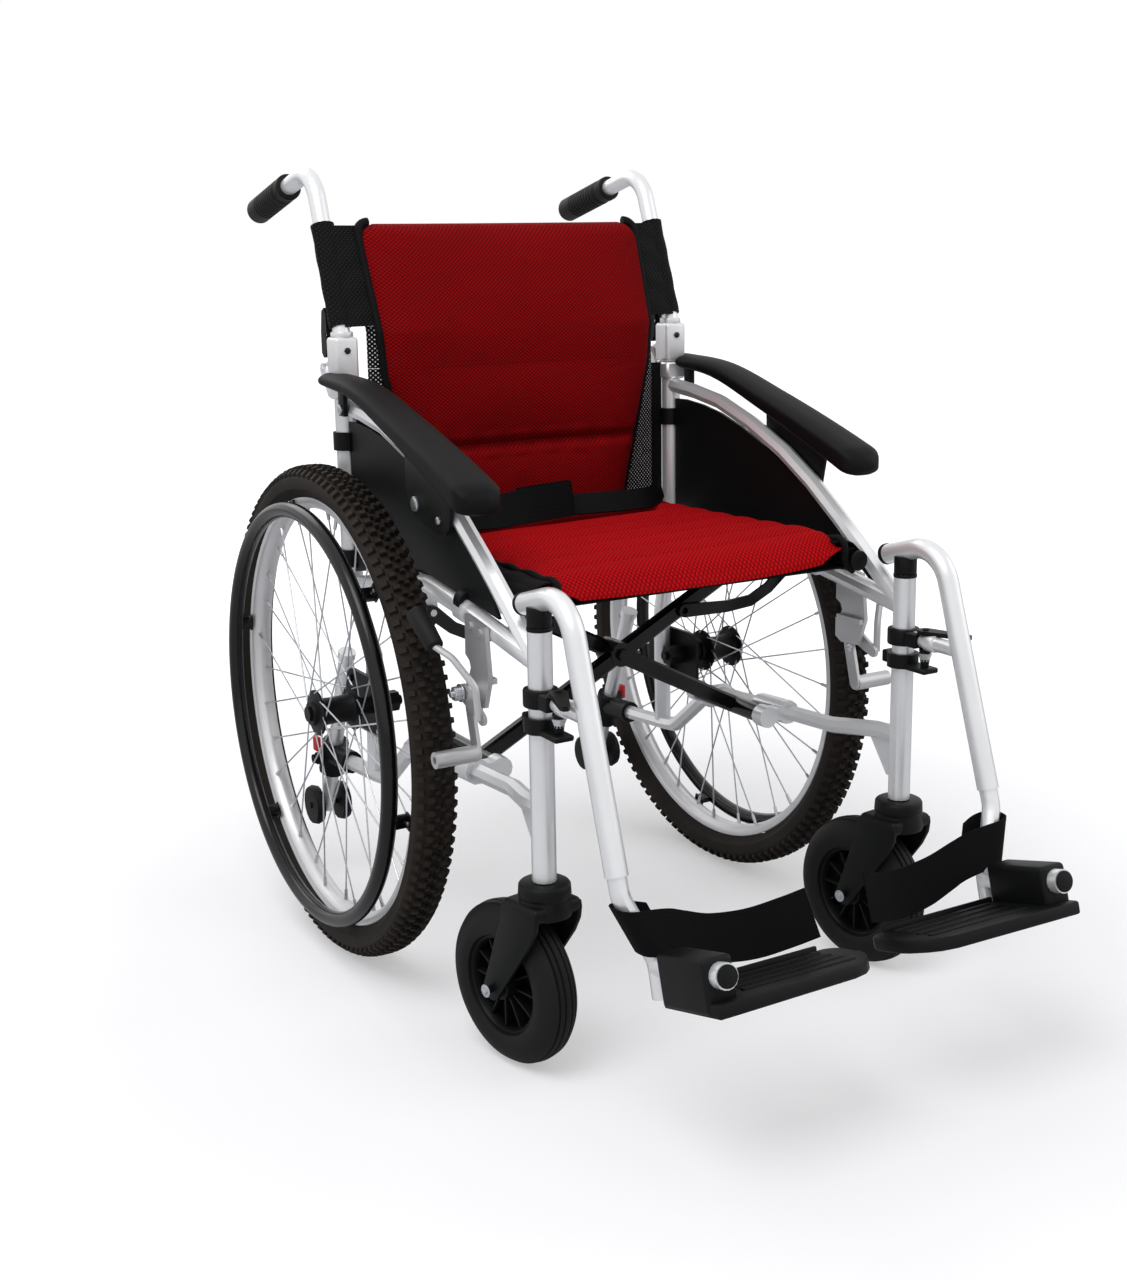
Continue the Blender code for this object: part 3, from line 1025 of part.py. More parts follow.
# Armrests and side panels
PAD_TOP = [(0.046, 0.7060), (-0.060, 0.6980), (-0.165, 0.6690), (-0.260, 0.6390), (-0.348, 0.6080)]
PAD_X = 0.2500
PAD_HALF = 0.0250


def pad_line(share):
    """Top line of the arm pad and its thickness, from rear to front."""
    knots = [Vector(p) for p in PAD_TOP]
    spot = share * (len(knots) - 1)
    index = min(int(spot), len(knots) - 2)
    point = knots[index].lerp(knots[index + 1], spot - index)
    return point.x, point.y, 0.016 + 0.016 * share


def make_armrest(name, side):
    """Moulded pad with the clamps that hold it on the arm arc."""
    def place(u, v, face):
        share = (v + 1) / 2
        y, z, thick = pad_line(share)
        ends = max(0.0, 1 - abs(v) ** 10) ** 0.5
        half = (PAD_HALF - 0.003 * (1 - share)) * (0.45 + 0.55 * ends)
        x = PAD_X + u * half
        round_off = abs(u) ** 4
        z = z - 0.004 * round_off if face > 0 else z - thick * (0.35 + 0.65 * ends) + 0.003 * round_off
        return at(side, x, y, z)
    body = pad(4, 10, place)
    inner = FRAME_X + ARC_RADIUS + GAP
    rear = side_block(side, (inner, inner + 0.006), (0.0060, 0.0245), (0.6540, 0.6930), 0.001)
    rear_head = side_rod(side, (inner + 0.004, 0.0150, 0.6620), (inner + 0.0105, 0.0150, 0.6620), 0.0060, 8)
    outline = rounded([(-0.1580, 0.6520), (-0.2750, 0.6120), (-0.2660, 0.5560), (-0.2400, 0.5460), (-0.1750, 0.5620),
                       (-0.1600, 0.5900)], 0.010, 1, closed=True)
    slot = arc(-0.2450, 0.5630, 0.0045, 0, 300, 5)
    front = side_sheet(side, (inner, inner + 0.0050), [tuple(p) for p in outline], [slot])
    front_head = side_rod(side, (inner + 0.004, -0.1870, 0.5740), (inner + 0.0090, -0.1870, 0.5740), 0.0070, 12)
    notch = side_block(side, (0.2100, 0.2511), (0.0237, 0.0700), (0.6400, 0.7700))
    return fuse(name, BLACK_PLASTIC, [carved(body, notch), rear, rear_head, front, front_head])


def make_side_panel(name, side):
    """Skirt guard under the arm arc, clipped to the back post."""
    top = [(p.y - AXLE_Y, p.z) for p in smooth([at(side, FRAME_X, y, z) for y, z in ARC_KNOTS], 3)]
    rear_edge = BACK_POST_Y - POST_RADIUS - 0.0020
    under = [(y, z - ARC_RADIUS / math.cos(math.atan(0.75)) - 0.0015) for y, z in top if -0.350 < y < rear_edge - 0.01]
    rise = RAIL_RADIUS + 0.0055
    outline = [(rear_edge, 0.6460)] + under
    outline += [(-0.350, rail_height(-0.350) + rise), (-0.165, rail_height(-0.165) + rise),
                (rear_edge, rail_height(rear_edge) + rise)]
    panel = side_sheet(side, (FRAME_X - 0.002, FRAME_X + 0.002), outline)
    shapes = [panel]
    cuts = []
    for low, high in ((0.6110, 0.6330), (0.4680, 0.4890)):
        shapes.append(side_rod(side, (FRAME_X, BACK_POST_Y, low), (FRAME_X, BACK_POST_Y, high), POST_RADIUS + 0.0035))
        shapes.append(side_block(side, (FRAME_X - 0.005, FRAME_X + 0.005), (0.0200, 0.0275), (low, high)))
        shapes.append(side_rod(side, (FRAME_X, BACK_POST_Y + 0.012, (low + high) / 2),
                               (FRAME_X, BACK_POST_Y + 0.026, (low + high) / 2), 0.0060, 8))
    cuts.append(side_rod(side, (FRAME_X, BACK_POST_Y, 0.4600), (FRAME_X, BACK_POST_Y, 0.6450), POST_RADIUS + GAP, 12))
    return fuse(name, BLACK_PLASTIC, shapes, cuts)


# Anti-tip stays
def make_anti_tip_tee(name, side):
    top, foot = at(side, LOWER_X, *ANTI_TIP_TOP), at(side, LOWER_X, *ANTI_TIP_FOOT)
    along = (foot - top).normalized()
    centre = at(side, LOWER_X, 0.1820, 0.1820)
    stub_start, stub_end = at(side, LOWER_X, 0.1180, lower_height(0.1180)), at(side, LOWER_X, 0.1700, lower_height(0.1700))
    sleeve = rod(stub_start, stub_end, 0.0150, 12)
    socket = rod(centre - along * 0.024, centre + along * 0.024, 0.0180, 12)
    clamp = side_rod(side, (LOWER_X, 0.1820, 0.1820), (LOWER_X + 0.0250, 0.1820, 0.1820), 0.0085, 12)
    knob = side_rod(side, (LOWER_X + 0.0240, 0.1820, 0.1820), (LOWER_X + 0.0300, 0.1820, 0.1820), 0.0065, 12)
    stub_bore = rod(at(side, LOWER_X, 0.1000, lower_height(0.1000)), at(side, LOWER_X, 0.1607, lower_height(0.1600)),
                    LOWER_RADIUS + 2 * GAP, 12)
    tube_bore = rod(top, foot, ANTI_TIP_RADIUS + GAP, 12)
    return fuse(name, BLACK_PLASTIC, [sleeve, socket, clamp, knob], [stub_bore, tube_bore])


def make_anti_tip_tube(name, side):
    top, foot = at(side, LOWER_X, *ANTI_TIP_TOP), at(side, LOWER_X, *ANTI_TIP_FOOT)
    tube = rod(top, foot, ANTI_TIP_RADIUS, 12)
    along = (foot - top).normalized()
    cap = rod(top - along * 0.003, top + along * 0.007, ANTI_TIP_RADIUS + 0.0018, 12)
    hole = side_rod(side, (LOWER_X - 0.02, 0.2120, 0.1070), (LOWER_X + 0.02, 0.2120, 0.1070), 0.0043, 10)
    return fuse(name, SILVER, [tube, cap], [hole], at(side, LOWER_X, 0.1820, 0.1820))


def make_anti_tip_wheels(name, side):
    axle = side_rod(side, (LOWER_X - 0.0270, 0.2120, 0.1070), (LOWER_X + 0.0270, 0.2120, 0.1070), 0.0040, 10)
    r = ANTI_TIP_WHEEL
    profile = [(0.0, -0.0060), (r - 0.0020, -0.0060), (r, 0.0), (r - 0.0020, 0.0060), (0.0, 0.0060)]
    wheels = [turned(profile, cross_axis(side, LOWER_X + offset, 0.2120, 0.1070), 16) for offset in (-0.0190, 0.0190)]
    return fuse(name, RUBBER, [axle, *wheels], pivot=at(side, LOWER_X, 0.2120, 0.1070))


def main():
    for hand, side in (("right", -1), ("left", 1)):
        make_frame(f"frame_{hand}", side)
        make_back_tube(f"back_tube_{hand}", side)
        make_push_grip(f"push_grip_{hand}", side)
        make_back_latch(f"back_latch_{hand}", side)
        make_brace_link(f"brace_link_{hand}", side)
        make_tyre(f"tyre_{hand}", side)
        make_rim(f"rim_{hand}", side)
        make_hub(f"hub_{hand}", side)
        make_handrim(f"handrim_{hand}", side)
        make_axle_plate(f"axle_plate_{hand}", side)
        make_caster_fork(f"caster_fork_{hand}", hand, side)
        make_caster_wheel(f"caster_wheel_{hand}", hand, side)
        make_brake_body(f"brake_body_{hand}", side)
        make_brake_arm(f"brake_arm_{hand}", side)
        make_brake_lever(f"brake_lever_{hand}", side)
        make_hanger(f"hanger_{hand}", side)
        make_post_catch(f"post_catch_{hand}", side)
        make_latch_lever(f"latch_lever_{hand}", side)
        make_leg_tube(f"leg_tube_{hand}", side)
        make_footplate(f"footplate_{hand}", side)
        make_heel_strap(f"heel_strap_{hand}", side)
        make_armrest(f"armrest_{hand}", side)
        make_side_panel(f"side_panel_{hand}", side)
        make_anti_tip_tee(f"anti_tip_tee_{hand}", side)
        make_anti_tip_tube(f"anti_tip_tube_{hand}", side)
        make_anti_tip_wheels(f"anti_tip_wheels_{hand}", side)
    make_brace_bar("brace_bar_front", -1, BRACE_FRONT_Y)
    make_brace_bar("brace_bar_rear", 1, BRACE_REAR_Y)
    make_brace_bolt()
    make_seat_sling()
    make_seat_cushion()
    make_back_pads()
    make_lap_belt()


main()
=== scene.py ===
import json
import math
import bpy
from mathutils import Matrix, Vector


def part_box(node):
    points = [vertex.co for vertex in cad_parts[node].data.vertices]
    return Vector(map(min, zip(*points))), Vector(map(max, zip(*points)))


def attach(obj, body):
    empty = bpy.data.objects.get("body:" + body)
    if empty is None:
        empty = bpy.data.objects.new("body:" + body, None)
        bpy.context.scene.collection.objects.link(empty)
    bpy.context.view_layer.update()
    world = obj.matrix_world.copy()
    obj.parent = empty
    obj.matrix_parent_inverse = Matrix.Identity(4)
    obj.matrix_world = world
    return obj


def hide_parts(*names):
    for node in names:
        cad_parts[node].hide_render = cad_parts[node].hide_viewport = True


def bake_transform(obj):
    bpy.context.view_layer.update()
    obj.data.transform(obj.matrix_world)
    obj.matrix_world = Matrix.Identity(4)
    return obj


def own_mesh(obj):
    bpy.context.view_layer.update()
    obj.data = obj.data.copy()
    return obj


bl_info = {
    "name": "All-terrain wheelchair",
    "version": (1, 0, 0),
    "blender": (4, 5, 0),
    "location": "3D View > Sidebar > Wheelchair",
    "description": "Dresses the frame of a folding all-terrain wheelchair",
    "category": "Object",
}

import bpy
from mathutils import Matrix, Quaternion, Vector

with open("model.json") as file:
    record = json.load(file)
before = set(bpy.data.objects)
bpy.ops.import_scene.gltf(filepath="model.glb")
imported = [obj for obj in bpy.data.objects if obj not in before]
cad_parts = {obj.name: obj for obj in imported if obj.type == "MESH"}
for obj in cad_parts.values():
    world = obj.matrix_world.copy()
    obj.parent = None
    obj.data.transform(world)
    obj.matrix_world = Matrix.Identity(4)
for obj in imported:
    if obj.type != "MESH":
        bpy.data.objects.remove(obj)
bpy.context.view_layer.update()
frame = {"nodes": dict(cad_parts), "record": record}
JOINTS = {joint["name"]: joint for joint in frame["record"]["behaviour"]["joints"]}
AXLE = Vector(JOINTS["wheel_left"]["pos_m"])
AXLE_Y = AXLE.y
HANDS = (("right", -1), ("left", 1))
WORLD_UP = Vector((0, 0, 1))
WELD_DISTANCE = 0.00001
DOUBLE_DISTANCE = 0.000005

# Sizes of the frame in metres: X is outboard of the middle, Y behind the rear axle, Z above the floor
FRAME_X = 0.2355
FRONT_POST_Y = -0.432
BACK_POST_Y = 0.0405
BACK_LEAN_Z = 0.75
BACK_FOLD_Z = 0.7065
HANDLE_CORNER = (0.1120, 0.9450)
HANDLE_REACH = 0.311
HANDLE_DROP = (HANDLE_CORNER[1] - 0.899) / (HANDLE_REACH - HANDLE_CORNER[0])
SEAT_TUBE_X = 0.205
SEAT_TUBE_Z = 0.492
SEAT_TUBE_RADIUS = 0.011
SEAT_FRONT = -0.382
SEAT_REAR = 0.001
TUBE_BEND = 0.045
HANDLE_TUBE_RADIUS = 0.0108
HANGER_TUBE_RADIUS = 0.0115
HANGER_LEAN = math.radians(18.2)
HANGER_END = (-0.572, 0.267)
STUB_Z = 0.4095
LATCH_Y = -0.468
FOOT_TILT = math.radians(16.0)
CASTER_RADIUS = 0.0885
CASTER_TRAIL = 0.0525
ARM_POST_FACE = 0.2511

# The CAD nodes of each finish, by the start of their names; every other node is moulded_abs
NODE_FINISHES = {
    "satin_silver_paint": ("frame", "back_tube", "hanger", "leg_tube", "anti_tip_tube"),
    "machined_alloy": ("rim",),
    "blasted_alloy": ("brake_body", "brake_arm", "brake_lever"),
    "gloss_black_paint": ("brace_bar", "brace_link", "brace_bolt", "handrim"),
    "moulded_rubber": ("push_grip", "caster_wheel", "anti_tip_wheels"),
    "tread_rubber": ("tyre",),
    "red_spacer_mesh": ("seat_cushion", "back_pad"),
    "seat_canvas": ("seat_sling",),
    "black_webbing": ("lap_belt", "heel_strap"),
}


# Colour and nodes
def linear(code):
    """Turn an sRGB hex colour into the linear values that Blender takes."""
    channels = [int(code[i:i + 2], 16) / 255 for i in (1, 3, 5)]
    return tuple(c / 12.92 if c <= 0.04045 else ((c + 0.055) / 1.055) ** 2.4 for c in channels)


def shade(colour, amount):
    """The same colour made lighter or darker."""
    return tuple(min(1.0, c * amount) for c in colour)


def add_node(tree, kind, settings=None, inputs=None, stops=()):
    """Add one node with its settings, link or set its inputs, and place the stops of a colour ramp."""
    node = tree.nodes.new(kind)
    for name, value in (settings or {}).items():
        setattr(node, name, value)
    for name, value in (inputs or {}).items():
        if isinstance(value, bpy.types.NodeSocket):
            tree.links.new(value, node.inputs[name])
        else:
            node.inputs[name].default_value = value
    for index, (place, colour) in enumerate(stops):
        elements = node.color_ramp.elements
        element = elements[index] if index < len(elements) else elements.new(place)
        element.position = place
        element.color = (*colour, 1.0)
    return node


def blank_finish(name, **values):
    """A new material with constants set on its shader's own sockets."""
    material = bpy.data.materials.new(name)
    material.use_nodes = True
    tree = material.node_tree
    shader = tree.nodes["Principled BSDF"]
    for socket, value in values.items():
        shader.inputs[socket.replace("_", " ")].default_value = value
    return material, tree, shader


def surfaced(tree, shader, tint, height, strength, distance, invert=False):
    """Give a shader its colour, and a relief as high as a distance in metres."""
    tree.links.new(tint, shader.inputs["Base Color"])
    relief = add_node(tree, "ShaderNodeBump", {"invert": invert},
                      {"Height": height, "Strength": strength, "Distance": distance})
    tree.links.new(relief.outputs["Normal"], shader.inputs["Normal"])


def even_finish(name, colour, drift, grain, bump, roughness, metallic=0.0, gloss=0.5):
    """A material with slow colour drift and a fine surface grain in metres, both in object space."""
    material, tree, shader = blank_finish(name, Roughness=roughness, Metallic=metallic,
                                          Specular_IOR_Level=gloss)
    place = add_node(tree, "ShaderNodeTexCoord").outputs["Object"]
    slow = add_node(tree, "ShaderNodeTexNoise", inputs={"Vector": place, "Scale": 14.0, "Detail": 4.0})
    tint = add_node(tree, "ShaderNodeValToRGB", inputs={"Fac": slow.outputs["Fac"]},
                    stops=[(0.3, shade(colour, 1 - drift)), (0.7, shade(colour, 1 + drift))])
    fine = add_node(tree, "ShaderNodeTexNoise", inputs={"Vector": place, "Scale": 1 / grain, "Detail": 3.0})
    uneven = add_node(tree, "ShaderNodeMapRange", inputs={
        "Value": fine.outputs["Fac"], "To Min": roughness - 0.06, "To Max": roughness + 0.06})
    tree.links.new(uneven.outputs["Result"], shader.inputs["Roughness"])
    surfaced(tree, shader, tint.outputs["Color"], fine.outputs["Fac"], bump, grain)
    return material


def woven_waves(tree, place, angle, across_gap, along_gap=None):
    """Two crossed sets of waves, turned by an angle, each a given distance apart in metres."""
    turn = add_node(tree, "ShaderNodeMapping", inputs={"Vector": place, "Rotation": (0.0, 0.0, angle)})
    waves = []
    for direction, gap in (("X", across_gap), ("Y", along_gap or across_gap)):
        # A wave texture repeats 20 times in 2 pi at scale 1.
        wave = add_node(tree, "ShaderNodeTexWave", {"bands_direction": direction},
                        {"Vector": turn.outputs["Vector"], "Scale": 2 * math.pi / (20 * gap)})
        waves.append(wave.outputs["Fac"])
    return waves


def flat_place(tree, upright):
    """Object coordinates laid flat: across and back on the seat, across and up on the backrest."""
    place = add_node(tree, "ShaderNodeTexCoord").outputs["Object"]
    if not upright:
        return place
    parts = add_node(tree, "ShaderNodeSeparateXYZ", inputs={"Vector": place}).outputs
    flat = add_node(tree, "ShaderNodeCombineXYZ", inputs={"X": parts["X"], "Y": parts["Z"]})
    return flat.outputs["Vector"]


def red_spacer_mesh(name, colour, upright):
    """Knitted spacer mesh: raised diamonds about 4 mm apart, with painted shade in the hollows between them
    and a painted highlight on their crowns.
    """
    material, tree, shader = blank_finish(name, Roughness=0.9, Specular_IOR_Level=0.08)
    place = flat_place(tree, upright)
    squashed = add_node(tree, "ShaderNodeMapping", inputs={"Vector": place, "Scale": (1.0, 1.25, 1.0)})
    across, along = woven_waves(tree, squashed.outputs["Vector"], math.radians(45), 0.0040)
    diamond = add_node(tree, "ShaderNodeMath", {"operation": "MULTIPLY"}, {0: across, 1: along})
    # The diamonds' relief also sets their colour: painted shade in the hollows, painted highlight on the
    # crowns.
    shaded_hollow, edge, crown = (shade(colour, amount) for amount in (0.40, 0.85, 1.15))
    cells = add_node(tree, "ShaderNodeValToRGB", inputs={"Fac": diamond.outputs["Value"]},
                     stops=[(0.0, shaded_hollow), (0.22, edge), (0.75, crown)])
    drift = add_node(tree, "ShaderNodeTexNoise", inputs={"Vector": place, "Scale": 9.0, "Detail": 5.0})
    fade = add_node(tree, "ShaderNodeValToRGB", inputs={"Fac": drift.outputs["Fac"]},
                    stops=[(0.3, (0.88, 0.88, 0.88)), (0.7, (1.0, 1.0, 1.0))])
    mixed = add_node(tree, "ShaderNodeMix", {"data_type": "RGBA", "blend_type": "MULTIPLY"},
                     {"Factor": 1.0, "A": cells.outputs["Color"], "B": fade.outputs["Color"]})
    surfaced(tree, shader, mixed.outputs["Result"], diamond.outputs["Value"], 0.5, 0.0009)
    return material


def knitted_net(name, colour, hole, opening):
    """Knitted net: round holes 3.8 mm apart in offset rows, through which a paler ground shows."""
    material, tree, shader = blank_finish(name, Roughness=0.8, Specular_IOR_Level=0.15)
    across, along = woven_waves(tree, flat_place(tree, True), math.radians(45), 0.0038)
    cell = add_node(tree, "ShaderNodeMath", {"operation": "MULTIPLY"}, {0: across, 1: along})
    tint = add_node(tree, "ShaderNodeValToRGB", inputs={"Fac": cell.outputs["Value"]},
                    stops=[(0.0, colour), (opening, colour), (opening + 0.12, hole)])
    surfaced(tree, shader, tint.outputs["Color"], cell.outputs["Value"], 0.6, 0.001, invert=True)
    return material


def ribbed_webbing(name, colour, roughness, gloss):
    """Polyester webbing: ribs across the strap 2.4 mm apart on the strap's own UV map, in metres, with
    painted shade between the ribs and a painted highlight on them.
    """
    material, tree, shader = blank_finish(name, Roughness=roughness, Specular_IOR_Level=gloss)
    place = add_node(tree, "ShaderNodeUVMap", {"uv_map": "UVMap"}).outputs["UV"]
    across, along = woven_waves(tree, place, 0.0, 0.0024, 0.0050)
    ribs = add_node(tree, "ShaderNodeMath", {"operation": "MULTIPLY_ADD"}, {0: along, 1: 0.4, 2: across})
    # The ribs' relief also sets the colour: painted shade in the grooves, painted highlight on the ribs.
    tint = add_node(tree, "ShaderNodeValToRGB", inputs={"Fac": ribs.outputs["Value"]},
                    stops=[(0.0, shade(colour, 0.55)), (1.0, shade(colour, 1.35))])
    surfaced(tree, shader, tint.outputs["Color"], ribs.outputs["Value"], 0.4, 0.0006)
    return material


def coated_canvas(name, colour):
    """Coated nylon canvas: a plain weave, drawn 1.6 mm apart so that it shows, with soft creases, painted
    darker in their hollows and lighter on their crests as painted shade and painted highlight.
    """
    material, tree, shader = blank_finish(name, Roughness=0.75, Specular_IOR_Level=0.15)
    place = flat_place(tree, False)
    across, along = woven_waves(tree, place, 0.0, 0.0016)
    weave = add_node(tree, "ShaderNodeMath", {"operation": "ADD"}, {0: across, 1: along})
    crease = add_node(tree, "ShaderNodeTexNoise", inputs={"Vector": place, "Scale": 26.0, "Detail": 3.0})
    # The creases' relief also sets the colour: painted shade in their hollows, painted highlight on their
    # crests.
    tint = add_node(tree, "ShaderNodeValToRGB", inputs={"Fac": crease.outputs["Fac"]},
                    stops=[(0.3, shade(colour, 0.8)), (0.7, shade(colour, 1.3))])
    height = add_node(tree, "ShaderNodeMath", {"operation": "MULTIPLY_ADD"},
                      {0: crease.outputs["Fac"], 1: 4.0, 2: weave.outputs["Value"]})
    surfaced(tree, shader, tint.outputs["Color"], height.outputs["Value"], 0.35, 0.0008)
    return material


FINISHES = {}


def mix_finishes(colours):
    """Make every finish of the chair once, from the colours on the panel."""
    silver, red, black = (tuple(colour) for colour in (colours.paint, colours.upholstery, colours.plastic))
    net_black = linear("#070708")
    # Name, colour, drift of the colour, grain, bump, roughness, metallic and gloss
    even_rows = (
        # Satin metallic powder coat on steel tube: pale, with broad soft highlights.
        ("satin_silver_paint", silver, 0.03, 0.0011, 0.05, 0.33, 0.60),
        # Machined aluminium: pale metal, half dull.
        ("machined_alloy", linear("#E2E2E4"), 0.04, 0.0012, 0.06, 0.38, 0.45),
        # Bead-blasted aluminium: greyer, with broad highlights along its edges.
        ("blasted_alloy", linear("#C3C3C5"), 0.06, 0.0010, 0.08, 0.34, 0.65),
        # Gloss black stove enamel: deep black with sharp highlights.
        ("gloss_black_paint", linear("#08080A"), 0.10, 0.0030, 0.03, 0.22, 0.0, 0.35),
        # Moulded ABS: near black, with the fine grain of a spark-eroded mould.
        ("moulded_abs", black, 0.10, 0.0009, 0.10, 0.46, 0.0, 0.16),
        # Skinned polyurethane foam: matt black with a leather-like pebble.
        ("soft_arm_pad", linear("#0B0B0C"), 0.08, 0.0016, 0.10, 0.55, 0.0, 0.12),
        # Moulded rubber: matt, slightly greyer where it wears.
        ("moulded_rubber", linear("#0E0E0F"), 0.14, 0.0014, 0.12, 0.60, 0.0, 0.22),
        # Tyre rubber with road dust: a warm black that drifts to brown.
        ("tread_rubber", linear("#241F1B"), 0.30, 0.0020, 0.20, 0.72, 0.0, 0.20),
        # Zinc-plated steel: bright, slightly blue, softly mirrored.
        ("zinc_plated_steel", linear("#C4C7CB"), 0.04, 0.0010, 0.04, 0.28, 0.9),
        # Small clear-coloured polyamide moulding.
        ("red_plastic", linear("#C3171B"), 0.05, 0.0012, 0.05, 0.35),
    )
    for row in even_rows:
        FINISHES[row[0]] = even_finish(*row)
    # Red polyester spacer mesh: matt and softly knobbly. The backrest's red is the seat's red darkened as
    # painted shade, for a backrest lit less than the seat.
    FINISHES["red_spacer_mesh"] = red_spacer_mesh("red_spacer_mesh_back_shaded", shade(red, 0.54), True)
    FINISHES["red_spacer_mesh_seat"] = red_spacer_mesh("red_spacer_mesh_seat", red, False)
    # Black nylon net: its holes show dark tube on the sleeve and wing, and pale ground on the open strips.
    FINISHES["black_net"] = knitted_net("black_net", net_black, linear("#3C3C3E"), 0.80)
    FINISHES["open_net"] = knitted_net("open_net", net_black, linear("#E4E4E6"), 0.52)
    # Polyester webbing: dull black ribs; the lap belt's is smoother.
    FINISHES["black_webbing"] = ribbed_webbing("black_webbing", linear("#08080A"), 0.85, 0.12)
    FINISHES["belt_webbing"] = ribbed_webbing("belt_webbing", linear("#050506"), 0.65, 0.08)
    # Coated nylon canvas: near black, with soft creases that carry painted shade and painted highlight, and
    # a dim sheen.
    FINISHES["seat_canvas"] = coated_canvas("seat_canvas", linear("#08080A"))


# Shaping
def at(side, w, y, z):
    """A point from its distance outboard, behind the rear axle and above the floor."""
    return Vector((side * w, y + AXLE_Y, z))


def facing(way, up="X"):
    """The turn that points Z along a direction."""
    return way.to_track_quat("Z", up).to_matrix().to_4x4()


def about_z(share):
    """A turn about Z by a share of a full circle."""
    return Matrix.Rotation(2 * math.pi * share, 4, "Z")


def chosen(obj):
    """Make one object the only selected one."""
    bpy.ops.object.select_all(action="DESELECT")
    obj.select_set(True)
    bpy.context.view_layer.objects.active = obj
    return obj


def primitive(kind, **settings):
    """Add one mesh primitive with nothing else selected."""
    bpy.ops.object.select_all(action="DESELECT")
    getattr(bpy.ops.mesh, f"primitive_{kind}_add")(**settings)
    return bpy.context.object


def settled(obj, place=None):
    """Put an object's place into its mesh."""
    obj.data.transform(obj.matrix_basis if place is None else place @ obj.matrix_basis)
    obj.matrix_basis = Matrix.Identity(4)
    return obj


def modified(obj, kind, **settings):
    """Add one modifier and apply it."""
    chosen(obj)
    modifier = obj.modifiers.new(kind.lower(), kind)
    for name, value in settings.items():
        setattr(modifier, name, value)
    bpy.ops.object.modifier_apply(modifier=modifier.name)
    return obj


def beveled(obj, width, segments=2):
    """Round the edges that turn by more than 40 degrees."""
    return modified(obj, "BEVEL", width=width, segments=segments, limit_method="ANGLE",
                    angle_limit=math.radians(40))


def outward(obj):
    """Merge doubled points and turn all faces outwards."""
    chosen(obj)
    bpy.ops.object.mode_set(mode="EDIT")
    bpy.ops.mesh.select_all(action="SELECT")
    bpy.ops.mesh.remove_doubles(threshold=DOUBLE_DISTANCE)
    bpy.ops.mesh.normals_make_consistent(inside=False)
    bpy.ops.object.mode_set(mode="OBJECT")
    return obj


def joined(objs):
    """Join several objects into the first."""
    bpy.ops.object.select_all(action="DESELECT")
    for obj in objs:
        obj.select_set(True)
    bpy.context.view_layer.objects.active = objs[0]
    if len(objs) > 1:
        bpy.ops.object.join()
    return bpy.context.view_layer.objects.active


def repeated(obj, places):
    """One object copied to several places and joined, each copy with its own mesh."""
    made = []
    for place in places:
        twin = obj.copy()
        twin.data = obj.data.copy()
        twin.data.transform(place)
        bpy.context.scene.collection.objects.link(twin)
        made.append(twin)
    bpy.data.objects.remove(obj)
    return joined(made)


def cuboid(low, high, bevel=0.0, place=None, segments=2):
    """A block with rounded edges between two corners."""
    low, high = Vector(low), Vector(high)
    obj = primitive("cube", size=1.0)
    spread = Vector([abs(c) for c in high - low])
    obj.data.transform(Matrix.Translation((low + high) / 2) @ Matrix.Diagonal((*spread, 1.0)))
    if bevel:
        beveled(obj, bevel, segments)
    return settled(obj, place)


def block_at(side, low, high, bevel, segments=2):
    """A block between two corners that are given as for at()."""
    return cuboid(at(side, *low), at(side, *high), bevel, None, segments)


def rod(start, end, radius, sides=32, bevel=0.0, end_radius=None):
    """A round bar between two points, with softened rims."""
    start, end = Vector(start), Vector(end)
    end_radius = radius if end_radius is None else end_radius
    obj = primitive("cone", vertices=sides, radius1=radius, radius2=end_radius, depth=(end - start).length)
    if bevel:
        beveled(obj, bevel)
    return settled(obj, Matrix.Translation((start + end) / 2) @ facing(end - start))


def rod_at(side, start, end, *shape):
    """A round bar between two points that are given as for at()."""
    return rod(at(side, *start), at(side, *end), *shape)


def rod_in(place, start, end, *shape):
    """A round bar between two points of a placed piece."""
    return rod(place @ Vector(start), place @ Vector(end), *shape)


def bent(points, radius, steps=9):
    """A path with its corners rounded to a bending radius."""
    points = [Vector(p) for p in points]
    path = [points[0]]
    for before, corner, after in zip(points, points[1:], points[2:]):
        back = before - corner
        ahead = after - corner
        half = back.angle(ahead) / 2
        reach = min(radius / math.tan(half), 0.49 * min(back.length, ahead.length))
        middle = corner + (back.normalized() + ahead.normalized()).normalized() * (reach / math.cos(half))
        first = corner + back.normalized() * reach - middle
        last = corner + ahead.normalized() * reach - middle
        turn = first.rotation_difference(last)
        for i in range(steps + 1):
            path.append(middle + Quaternion().slerp(turn, i / steps) @ first)
    path.append(points[-1])
    return path


def flowing(points, steps=6):
    """A smooth curve through the points."""
    points = [Vector(p) for p in points]
    ends = [points[0] * 2 - points[1], *points, points[-1] * 2 - points[-2]]
    path = []
    for a, b, c, d in zip(ends, ends[1:], ends[2:], ends[3:]):
        for i in range(steps):
            t = i / steps
            square = (2 * a - 5 * b + 4 * c - d) * t ** 2
            cube = (3 * b - a - 3 * c + d) * t ** 3
            path.append(0.5 * (2 * b + (c - a) * t + square + cube))
    path.append(points[-1])
    return path


def reaches(path):
    """Distance of each point of a path from its start, along the path."""
    lengths = [0.0]
    for a, b in zip(path, path[1:]):
        lengths.append(lengths[-1] + (b - a).length)
    return lengths


def tube(path, radius, sides=24):
    """A round tube along a path, with filled ends."""
    bpy.ops.object.select_all(action="DESELECT")
    bpy.ops.curve.primitive_nurbs_path_add()
    curve = bpy.context.object.data
    curve.splines.clear()
    curve.dimensions = "3D"
    curve.bevel_depth = radius
    curve.bevel_resolution = sides // 2 - 2
    curve.use_fill_caps = True
    spline = curve.splines.new("POLY")
    spline.points.add(len(path) - 1)
    for knot, point in zip(spline.points, path):
        knot.co = (*point, 1.0)
    bpy.ops.object.convert(target="MESH")
    return outward(bpy.context.object)


